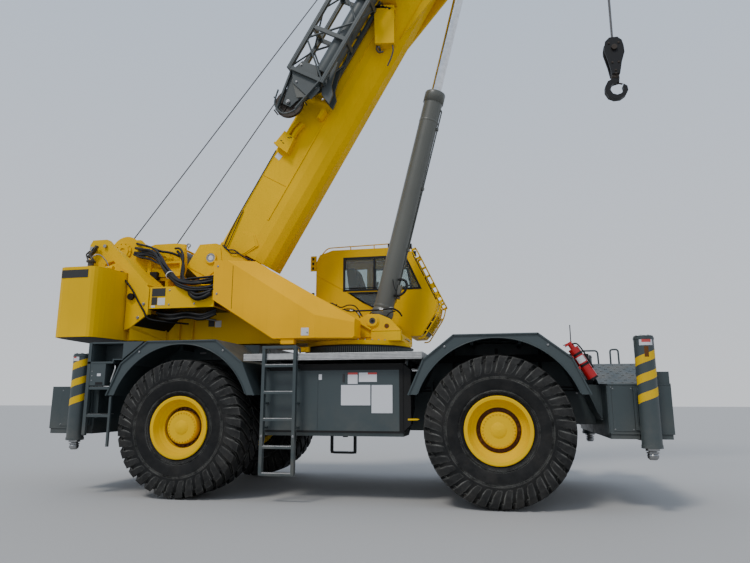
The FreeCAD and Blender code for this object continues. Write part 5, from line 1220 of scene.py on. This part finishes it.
# ------------------------------------------------------------------ carrier: deck, ladder, tank
g_, k, w, al = bag(ROOT, "grey"), bag(ROOT, "black"), bag(ROOT, "steel"), bag(ROOT, "alu")
pw, pk, pr_ = bag(ROOT, "plate_white"), bag(ROOT, "plate_black"), bag(ROOT, "plate_red")
for s in (-1, 1):
    for z in (1.738, 1.757, 1.776, 1.795, 1.812):
        lo, hi = sorted((s * 1.610, s * 1.618))
        al.box(-1.155, -0.890, lo, hi, z - 0.005, z + 0.004)
        al.box(-0.425, 1.155, lo, hi, z - 0.005, z + 0.004)
    # raised studs of the deck plate
    for i in range(17):
        for j in range(5):
            x, yy = -1.08 + i * 0.135 + (0.06 if j % 2 else 0), s * (0.86 + j * 0.15)
            if math.hypot(x, yy) > 0.86:
                al.block((x - 0.022, yy - 0.012, 1.8215), (x + 0.022, yy + 0.012, 1.8215), 0.010, 0.003)
    # ladder: stand-offs, ribs on the rungs, hung foot with rounded corners, hand grips
    for x in (-0.865, -0.450):
        for z in (1.62, 1.20, 0.90):
            g_.box(x - 0.018, x + 0.018, *sorted((s * 1.47, s * 1.614)), z - 0.012, z + 0.012)
        lo, hi = sorted((s * 1.605, s * 1.612))
        g_.box(x - 0.026, x + 0.026, lo, hi, 0.36, 1.90)
    for z in (0.344, 0.663, 0.996, 1.327, 1.661):
        lo, hi = sorted((s * 1.600, s * 1.6555))
        al.box(-0.845, -0.470, lo, hi, z + 0.0145, z + 0.019)
        for i in range(14):
            x = -0.835 + i * 0.0275
            al.box(x, x + 0.008, *sorted((s * 1.604, s * 1.652)), z + 0.019, z + 0.026)
    for x, o_ in ((-0.885, 1), (-0.430, -1)):
        g_.box(x - 0.004 * (o_ > 0), x + 0.004 * (o_ < 0), *sorted((s * 1.614, s * 1.653)), 0.36, 0.76)
    g_.bent([(-0.865, s * 1.634, 0.80), (-0.875, s * 1.636, 0.335), (-0.440, s * 1.636, 0.335), (-0.450, s * 1.634, 0.80)], 0.013, 8, 0.05)
    for x in (-0.865, -0.450):
        g_.box(x - 0.030, x + 0.030, *sorted((s * 1.60, s * 1.612)), 0.74, 0.86)
        w.bolt((x, s * 1.6555, 0.80), (0, s, 0), 0.012, 0.0022)
    g_.box(-0.887, -0.428, *sorted((s * 1.610, s * 1.6565)), 1.880, 1.916)
    g_.prism([(0.99, 1.30), (0.99, 1.40), (1.165, 1.712), (1.535, 2.004), (2.525, 2.004), (2.895, 1.712), (3.06, 1.40), (3.06, 1.30)], "XZ", *sorted((s * 0.4525, s * 0.458)))
    for x in (1.45, 2.03, 2.60):
        k.box(x - 0.02, x + 0.02, *sorted((s * 0.458, s * 0.475)), 1.50, 1.93)
    for x in (-0.865, -0.450):
        g_.bent([(x, s * 1.45, 1.82), (x, s * 1.45, 1.90), (x, s * 1.61, 1.895)], 0.012, 8, 0.04)
    # shade on the deck's edge inside the wheel arch, closing plates under the outrigger boxes
    v_ = bag(ROOT, "void", "shade")
    v_.box(1.22, 3.185, *sorted((s * 0.7705, s * 0.7745)), 1.722, 1.8215)
    g_.box(3.290, 3.955, *sorted((s * 0.02, s * 1.400)), 0.802, 0.856)
    g_.box(-4.070, -3.420, *sorted((s * 0.02, s * 1.400)), 0.790, 0.856)
    # tank: seams, straps, lip, drain
    lo, hi = sorted((s * 1.4695, s * 1.4745))
    g_.box(-0.905, -0.893, lo, hi, 0.868, 1.606)
    g_.box(-0.905, 0.848, lo, hi, 1.592, 1.608)
    # the deep black bands along the tank's top, bottom and end are painted shade of the dark gaps round the tank
    v_.box(-0.905, 0.895, lo, hi, 1.608, 1.690)
    v_.box(-0.905, 0.895, lo, hi, 0.842, 0.866)
    v_.box(0.848, 0.895, lo, hi, 0.862, 1.612)
    g_.box(-0.20, -0.192, *sorted((s * 1.4695, s * 1.4715)), 0.87, 1.59)
    k.rod((0.10, s * 1.20, 0.80), (0.10, s * 1.20, 0.775), 0.035, 14)
    # flank under the deck behind the tank, a deep black sheet of painted shade; chamfer beside the wheel
    v_.prism([(0.896, 0.86), (0.99, 0.95), (0.99, 1.60), (0.896, 1.69)], "XZ", *sorted((s * 1.30, s * 1.466)))
    bag(ROOT, "stripe").prism([(0.952, 0.996), (1.070, 0.998), (1.098, 1.012), (1.070, 1.018), (0.952, 1.016)], "XZ", *sorted((s * 1.466, s * 1.469)))
    for x in (-0.95, 0.94):
        g_.box(x - 0.008, x + 0.008, *sorted((s * 0.46, s * 1.40)), 1.66, 1.7285)
y0, y1 = -1.4775, -1.4700
pw.box(-0.185, -0.144, y0, y1, 1.490, 1.560)
pw.box(0.196, 0.321, y0, y1, 1.437, 1.578)
bag(ROOT, "plate_red").box(0.196, 0.321, y0 - 0.0008, y1, 1.552, 1.578)
pw.box(0.338, 0.568, y0, y1, 1.461, 1.576)
bag(ROOT, "plate_red").box(0.452, 0.568, y0 - 0.0008, y1, 1.552, 1.576)
pk.box(0.128, 0.152, y0, y1, 1.460, 1.560)
pw.box(0.110, 0.485, y0, y1, 1.175, 1.424)
pw.box(0.501, 0.763, y0, y1, 1.081, 1.422)
# pale blue-grey tank panel joints on the left: a battery box door and lock
k.box(0.20, 0.206, 1.4705, 1.4725, 0.90, 1.58)
w.rod((0.28, 1.470, 1.25), (0.28, 1.486, 1.25), 0.022, 16)

# slewing ring: fine vertical teeth and grease line
ring = bag(ROOT, "slate", "ring_teeth")
for i in range(180):
    a = 2 * math.pi * i / 180
    c_, s_ = math.cos(a), math.sin(a)
    p, q = Vector((0.799 * c_, 0.799 * s_, 0)), Vector((0.812 * c_, 0.812 * s_, 0))
    t_ = Vector((-s_, c_, 0)) * 0.0075
    v = [x_ + Vector((0, 0, z)) for z in (1.885, 1.975) for x_ in (p - t_, q - t_, q + t_, p + t_)]
    ring.add(v, [(0, 3, 2, 1), (4, 5, 6, 7), (0, 1, 5, 4), (1, 2, 6, 5), (2, 3, 7, 6)])
ring = bag(ROOT, "black", "ring")
ring.ring((0, 0, 1.976), (0, 0, 1), 0.79, 0.818, 0.010, 96)
ring.ring((0, 0, 1.872), (0, 0, 1), 0.79, 0.822, 0.012, 96)

# ------------------------------------------------------------------ fenders: folded edges, rolled lip, brackets, bolts, ceiling
for sx in (-1, 1):
    for s in (-1, 1):
        cx = sx * AX
        o1, o2 = sorted((s * 1.6505, s * 1.6575))
        OUT = [(1.055, 1.300), (0.868, 1.722), (0.495, 2.014), (-0.495, 2.014), (-0.868, 1.722), (-1.055, 1.300)]
        for (xa, za), (xb, zb) in zip(OUT, OUT[1:]):
            d = Vector((xb - xa, zb - za)).normalized()
            n_ = Vector((d.y, -d.x))
            if n_.dot(Vector((xa, za - 0.975))) > 0:
                n_ = -n_
            g_.prism([(cx + xa, za), (cx + xb, zb), (cx + xb + n_.x * 0.018, zb + n_.y * 0.018), (cx + xa + n_.x * 0.018, za + n_.y * 0.018)], "XZ", o1, o2)
        # rolled lip round the wheel cut-out
        g_.tube([(cx + 0.990 * math.cos(math.radians(a)), s * 1.648, 0.975 + 0.990 * math.sin(math.radians(a))) for a in range(20, 161, 4)], 0.007, 6, 1)
        for xx in (-0.30, 0.30):
            g_.box(cx + xx - 0.02, cx + xx + 0.02, *sorted((s * 0.46, s * 1.10)), 1.93, 1.990)
        w.bolt((cx - 0.60, s * 1.650, 1.87), (0, s, 0), 0.010, 0.006)
        w.bolt((cx + 0.60, s * 1.650, 1.87), (0, s, 0), 0.010, 0.006)
        # ceiling between the fender and the inner wall
        g_.prism([(cx + a, b_) for a, b_ in [(-1.02, 1.34), (-0.845, 1.700), (-0.482, 1.992), (0.482, 1.992), (0.845, 1.700), (1.02, 1.34),
                 (1.03, 1.34), (0.857, 1.706), (0.487, 2.002), (-0.487, 2.002), (-0.857, 1.706), (-1.03, 1.34)]], "XZ", *sorted((s * 0.4585, s * 0.784)))
# chassis rail details: brackets, pipes, bolts seen under the deck
for s in (-1, 1):
    for x in (-1.28, -1.16, 1.16, 1.28):
        g_.box(x - 0.01, x + 0.01, *sorted((s * 0.45, s * 0.62)), 1.28, 1.48)
    for z in (1.36, 1.40):
        k.tube([(-3.2, s * 0.462, z), (-2.4, s * 0.466, z + 0.01), (-1.3, s * 0.466, z), (1.3, s * 0.466, z), (2.4, s * 0.466, z + 0.01), (3.18, s * 0.462, z)], 0.010, 6, 3)
    for x in (-3.1, -2.6, -1.35, 1.35, 2.6, 3.05):
        w.bolt((x, s * 0.45, 1.33), (0, s, 0), 0.014, 0.014)

# ------------------------------------------------------------------ axles: housings, bolts, pipes, steering cylinders' mounts
for e, sx in (("front", 1), ("rear", -1)):
    it = bag(ROOT, "iron", "axle")
    cx = sx * AX
    it.lathe((cx - 0.30 * 1, 0, TR), (1, 0, 0), [(0.0, 0.0), (0.0, 0.20), (0.06, 0.285), (0.20, 0.300), (0.40, 0.300), (0.54, 0.285), (0.60, 0.20), (0.60, 0.0)], 32)
    for s in (-1, 1):
        it.ring((cx, s * 0.385, TR), (0, s, 0), 0.13, 0.185, 0.020, 32)
        for i in range(12):
            a = 2 * math.pi * i / 12
            w.bolt((cx + 0.160 * math.cos(a), s * 0.405, TR + 0.160 * math.sin(a)), (0, s, 0), 0.009, 0.010)
        k.tube([(cx, s * 0.30, TR + 0.235), (cx, s * 0.45, TR + 0.17), (cx + 0.04, s * 0.60, TR + 0.15), (cx, s * 0.72, TR + 0.20)], 0.010, 6)
        w.rod((cx - sx * 0.16, s * 0.16, TR - 0.155), (cx - sx * 0.16, s * 0.52, TR - 0.155), 0.038, 16)
        it.box(cx - sx * 0.16 - 0.04, cx - sx * 0.16 + 0.04, *sorted((s * 0.10, s * 0.18)), TR - 0.22, TR - 0.10)
    for i in range(16):
        a = 2 * math.pi * i / 16
        w.bolt((cx - sx * 0.301, 0.235 * math.cos(a), TR + 0.235 * math.sin(a)), (-sx, 0, 0), 0.010, 0.010)
it = bag(ROOT, "iron", "drive")
for x, z in ((-1.30, 1.310), (-2.36, 1.310), (-0.60, 1.010), (1.62, 1.010)):
    it.ring((x, 0, z), (1, 0, 0), 0.045, 0.085, 0.03, 24)
    it.box(x - 0.05, x + 0.08, -0.055, 0.055, z - 0.03, z + 0.03)

# ------------------------------------------------------------------ engine hood: seams, handles, louvres, pipe rails
for s in (-1, 1):
    lo, hi = sorted((s * 0.7715, s * 0.7745))
    for x in (-2.70, -2.02):
        k.box(x, x + 0.006, lo, hi, 1.815, 2.008)
    for x in (-2.86, -2.20, -1.50):
        w.box(x, x + 0.09, *sorted((s * 0.772, s * 0.788)), 1.90, 1.92)
    for i in range(8):
        k.box(-3.29, -2.80, *sorted((s * 0.4995, s * 0.504)), 1.53 + i * 0.034, 1.547 + i * 0.034)
    g_.bent([(-3.20, s * 0.70, 2.010), (-3.20, s * 0.70, 2.060), (-2.60, s * 0.70, 2.060), (-2.60, s * 0.70, 2.010)], 0.010, 8, 0.03)
for i in range(9):
    k.box(-3.336, -3.329, -0.42, 0.42, 1.545 + i * 0.028, 1.560 + i * 0.028)
it = bag(ROOT, "iron", "engine")
for i in range(6):
    it.box(-3.18 + i * 0.125, -3.09 + i * 0.125, 0.328, 0.40, 1.52, 1.66)
    it.rod((-3.135 + i * 0.125, 0.36, 1.66), (-3.135 + i * 0.125, 0.36, 1.74), 0.03, 10)
it.rod((-3.20, -0.40, 1.62), (-2.50, -0.40, 1.62), 0.060, 14)
it.lathe((-2.46, 0, 1.310), (1, 0, 0), [(0, 0.0), (0.0, 0.20), (0.05, 0.22), (0.05, 0.0)], 24)

# ------------------------------------------------------------------ front box: panels, slots, rivets, brackets, rails, pipe, extinguisher
for s in (-1, 1):
    lo, hi = sorted((s * 1.4095, s * 1.4135))
    xj = 3.83 if s < 0 else 3.58
    g_.box(3.276, 3.286, lo, hi, 0.858, 1.422)
    g_.box(3.276, 3.968, lo, hi, 1.405, 1.424)
    g_.box(3.276, 3.968, lo, hi, 0.856, 0.872)
    for i in range(5):
        w.bolt((3.32 + i * 0.05, s * 1.4100, 1.385), (0, s, 0), 0.005, 0.005)
    g_.box(3.60, 3.70, *sorted((s * 1.16, s * 1.40)), 0.790, 0.856)
    # blank plates over the slots of the other side's beams
    for e in ("front", "rear"):
        lo2, hi2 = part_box("beam_%s_%s" % (e, "left" if s < 0 else "right"))
        xo = (lo2[0] + hi2[0]) / 2
        g_.box(xo - 0.116, xo + 0.116, *sorted((s * 1.4102, s * 1.4165)), 0.890, 1.392)
        for z in (0.91, 1.37):
            for dx in (-0.10, 0.10):
                w.bolt((xo + dx, s * 1.4165, z), (0, s, 0), 0.006, 0.005)
    # the locker's end wall above the rear steps
    g_.box(-3.351, -3.340, *sorted((s * 1.345, s * 1.620)), 1.745, 1.990)
    # handrails by the front fender and the box
    g_.bent([(3.36, s * 1.395, 1.44), (3.36, s * 1.395, 2.022), (3.62, s * 1.395, 2.022), (3.64, s * 1.395, 1.44)], 0.014, 8, 0.05) if s > 0 else None
    g_.bent([(3.78, s * 1.20, 1.50), (3.78, s * 1.20, 2.022), (3.90, s * 1.20, 2.022), (3.91, s * 1.20, 1.43)], 0.014, 8, 0.04) if s > 0 else None
g_.box(3.80, 3.965, -1.40, -1.02, 1.424, 1.560)
# chequered cover: low studs
al2 = bag(ROOT, "tread_plate")
for i in range(5):
    for j in range(9):
        t = (j + 0.5) / 9
        yy, z = -1.400 + 0.62 * t, 1.4285 + 0.258 * t
        x = 3.24 + i * 0.11 + (0.05 if j % 2 else 0)
        for s in (-1, 1):
            al2.block((x - 0.016, -s * yy, z + 0.002), (x + 0.016, -s * yy, z + 0.002), 0.008, 0.003)
# lamps on the box ends, both ends, with guards
for x, nx_ in ((3.972, 1), (-4.085, -1)):
    for s in (-1, 1):
        for j, mat in enumerate(("lamp_clear" if nx_ > 0 else "lamp_red", "lamp_amber")):
            lamp = bag(ROOT, mat)
            yy = s * (1.10 + 0.13 * j)
            lamp.rod((x, yy, 1.16), (x + nx_ * 0.022, yy, 1.16), 0.045, 20)
            k.ring((x, yy, 1.16), (nx_, 0, 0), 0.045, 0.056, 0.020, 20)
for s in (-1, 1):
    for z in (0.95, 1.33):
        w.bolt((3.972, s * 0.62, z), (1, 0, 0), 0.016, 0.014)
        w.bolt((-4.085, s * 0.62, z), (-1, 0, 0), 0.016, 0.014)
g_.box(3.972, 3.990, -0.36, 0.36, 0.95, 1.30)
pk.box(3.990, 3.993, -0.26, 0.26, 1.08, 1.20)
g_.box(-4.098, -4.085, -0.36, 0.36, 0.95, 1.30)
pk.box(-4.101, -4.098, -0.26, 0.26, 1.08, 1.20)

k.rod((2.905, -1.46, 1.86), (2.905, -1.46, 2.115), 0.006, 8)
k.rod((2.905, -1.46, 1.86), (2.905, -1.46, 1.90), 0.012, 8)
# extinguisher: bands, valve, horn hose, blank label
EX = Matrix.Translation((3.006, -1.545, 1.675)) @ Matrix.Rotation(math.radians(-30.0), 4, "Y")
for mat in ("black", "plate_white", "steel", "hose"):
    bag(ROOT, mat, "ext").m = EX
kb, lb, vb, hb = (BAGS[(ROOT, m_, "ext")] for m_ in ("black", "plate_white", "steel", "hose"))
kb.ring((0, 0, -0.055), (0, 0, 1), 0.0, 0.0645, 0.028, 28)
kb.ring((0, 0, 0.085), (0, 0, 1), 0.0, 0.0645, 0.028, 28)
kb.ring((0, 0, -0.232), (0, 0, 1), 0.0, 0.064, 0.022, 28)
n8 = 10
v = [(0.0628 * math.cos(math.radians(a)), 0.0628 * math.sin(math.radians(a)), z) for z in (-0.01, 0.065) for a in range(-135, -44, 9)]
m8 = len(v) // 2
lb.add(v, [(i, i + 1, m8 + i + 1, m8 + i) for i in range(m8 - 1)], True)
vb.rod((0, 0, 0.180), (0, 0, 0.232), 0.022, 16)
kb.block((-0.075, 0, 0.262), (0.030, 0, 0.252), 0.018, 0.010)
kb.block((-0.070, 0, 0.238), (0.010, 0, 0.236), 0.016, 0.008)
hb.tube([(0.02, -0.02, 0.225), (0.06, -0.045, 0.20), (0.072, -0.05, 0.10), (0.070, -0.045, -0.02), (0.066, -0.03, -0.12)], 0.009, 8)

# ------------------------------------------------------------------ rear steps: grip, latch, plates, ribs on the treads
for s in (-1, 1):
    g_ = bag(ROOT, "grey")
    al = bag(ROOT, "alu")
    face = s * 1.6405
    al.bent([(-3.035, s * 1.630, 1.475), (-3.015, s * 1.652, 1.500), (-2.965, s * 1.652, 1.660), (-2.985, s * 1.630, 1.690)], 0.009, 8, 0.03)
    bag(ROOT, "plate_white").box(-3.240, -3.185, *sorted((s * 1.640, s * 1.6425)), 1.555, 1.590)
    bag(ROOT, "black").box(-3.26, -3.15, *sorted((s * 1.640, s * 1.6415)), 1.44, 1.475)
    for z in (1.50, 1.56, 1.62):
        bag(ROOT, "steel").bolt((-3.32, s * 1.640, z), (0, s, 0), 0.006, 0.006)
    for z in (1.395, 1.035):
        for i in range(9):
            x = -3.335 + i * 0.024
            al.box(x, x + 0.007, *sorted((s * 1.36, s * 1.63)), z + 0.018, z + 0.024)
    g_.box(-3.395, -3.010, *sorted((s * 1.6405, s * 1.6440)), 1.722, 1.748)
    g_.box(-3.398, -3.350, *sorted((s * 1.6405, s * 1.6440)), 0.790, 2.000)

# ------------------------------------------------------------------ outriggers: stripes, plates, caps, ribs on the beams
def stripe(b, cx, cy, r, z0, z1, rise, a0, a1, n=18):
    """A slanted band on an upright tube, from angle a0 to a1 in degrees."""
    v = []
    for i in range(n + 1):
        t = i / n
        a = math.radians(a0 + (a1 - a0) * t)
        for z in (z0 + rise * t, z1 + rise * t):
            v.append((cx + r * math.cos(a), cy + r * math.sin(a), z))
    b.add(v, [(2 * i, 2 * i + 2, 2 * i + 3, 2 * i + 1) for i in range(n)], True)


for e, t in (("front", "right"), ("front", "left"), ("rear", "right"), ("rear", "left")):
    lo_, hi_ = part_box("jack_%s_%s" % (e, t))
    x = (lo_[0] + hi_[0]) / 2
    s = -1 if t == "right" else 1
    body = "beam_%s_%s" % (e, t)
    cy = s * 1.550
    sy, sw, sk, sr, sg, ss_ = (bag(body, m_) for m_ in ("stripe", "plate_white", "plate_black", "plate_red", "grey", "steel"))
    up_dir = -1 if s < 0 else 1
    top = 1.945 if e == "front" else 1.850
    for z in ((1.190, 1.398, 1.606) if e == "front" else (1.130, 1.368, 1.600)):
        # the tube's outward half, rising to the right as seen from outside
        stripe(sy, x, cy, 0.1088, z, z + 0.094, 0.115, 180 + 4 if s < 0 else 4, 360 - 4 if s < 0 else 176)
    if e == "front":
        stripe(sw, x, cy, 0.1092, 1.846, 1.912, 0.0, 232 if s < 0 else 52, 312 if s < 0 else 132)
        stripe(sr, x, cy, 0.1095, 1.880, 1.934, 0.0, 246 if s < 0 else 66, 300 if s < 0 else 120)
        stripe(bag(body, "brown_ring"), x, cy, 0.1092, 1.715, 1.835, 0.0, 258 if s < 0 else 78, 282 if s < 0 else 102)
    else:
        stripe(sw, x, cy, 0.1092, 1.762, 1.832, 0.0, 236 if s < 0 else 56, 288 if s < 0 else 108)
        stripe(sr, x, cy, 0.1095, 1.800, 1.840, 0.0, 236 if s < 0 else 56, 268 if s < 0 else 88)
    sg.ring((x, cy, top), (0, 0, 1), 0.0, 0.104, 0.012, 40)
    # flange round the beam's end, against the box when the beam is in
    for x_a, x_b, z_a, z_b in ((-0.130, 0.130, 1.330, 1.378), (-0.130, 0.130, 0.902, 0.950), (-0.130, -0.105, 0.95, 1.33), (0.105, 0.130, 0.95, 1.33)):
        sg.box(x + x_a, x + x_b, *sorted((s * 1.418, s * 1.430)), z_a, z_b)
    sg.ring((x, cy, 0.716), (0, 0, 1), 0.080, 0.1135, 0.035, 40)
    sg.ring((x, cy, top - 0.030), (0, 0, 1), 0.100, 0.1125, 0.022, 40)
    ss_.rod((x, cy, top), (x, cy, top + 0.022), 0.020, 12)
    for i in range(6):
        a = 2 * math.pi * i / 6
        ss_.bolt((x + 0.075 * math.cos(a), cy + 0.075 * math.sin(a), top + 0.012), (0, 0, 1), 0.010, 0.010)
    sg.box(x - 0.090, x + 0.090, *sorted((s * 1.405, s * 1.470)), 0.955, 1.325)
    for dx in (-0.100, 0.085):
        sg.box(x + dx, x + dx + 0.015, *sorted((s * 1.395, s * 1.470)), 0.90, 1.37)
    bag(body, "hose").tube([(x + 0.06, s * 1.43, 1.33), (x + 0.09, s * 1.42, 1.45), (x + 0.07, s * 1.44, 1.60), (x + 0.04, s * 1.455, 1.68)], 0.012, 7)
    # jack: ball, wiper, retaining ring
    jb = bag("jack_%s_%s" % (e, t), "steel")
    jb.ring((x, cy, 0.690), (0, 0, 1), 0.050, 0.0735, 0.006, 32)
    jb.ring((x, cy, 0.662), (0, 0, 1), 0.045, 0.066, 0.012, 28)

# ------------------------------------------------------------------ bags become objects
for (body, mat, tag), b in BAGS.items():
    if not b.f:
        continue
    o = mesh_of("trim_%s_%s%s" % (body, mat, "_" + tag if tag else ""), b.v, b.f, b.smooth, mat)
    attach(o, body)

# ------------------------------------------------------------------ floor, light
bpy.ops.mesh.primitive_plane_add(size=240, location=(0, 0, 0))
floor = bpy.context.object
floor.name = "floor"
fm = Mat("floor_pale")
floor.data.materials.append(fm.done((0.42, 0.415, 0.405), 0.9))

world = bpy.data.worlds.new("studio")
bpy.context.scene.world = world
world.use_nodes = True
wt = world.node_tree
bg = wt.nodes["Background"]
grad = wt.nodes.new("ShaderNodeTexCoord")
sep = wt.nodes.new("ShaderNodeSeparateXYZ")
wt.links.new(grad.outputs["Generated"], sep.inputs[0])
mr = wt.nodes.new("ShaderNodeMapRange")
mr.inputs["From Min"].default_value = -0.05
mr.inputs["From Max"].default_value = 0.6
wt.links.new(sep.outputs[2], mr.inputs["Value"])
mx = wt.nodes.new("ShaderNodeMix")
mx.data_type = "RGBA"
mx.inputs[6].default_value = (0.86, 0.88, 0.91, 1)
mx.inputs[7].default_value = (0.66, 0.76, 0.92, 1)
wt.links.new(mr.outputs["Result"], mx.inputs["Factor"])
wt.links.new(mx.outputs[2], bg.inputs["Color"])
bg.inputs["Strength"].default_value = 0.95

sun_data = bpy.data.lights.new("sun", "SUN")
sun_data.energy = 1.7
sun_data.angle = math.radians(14)
sun_data.color = (1.0, 0.965, 0.91)
sun = bpy.data.objects.new("sun", sun_data)
bpy.context.scene.collection.objects.link(sun)
sun.rotation_euler = (math.radians(38), math.radians(4), math.radians(-28))
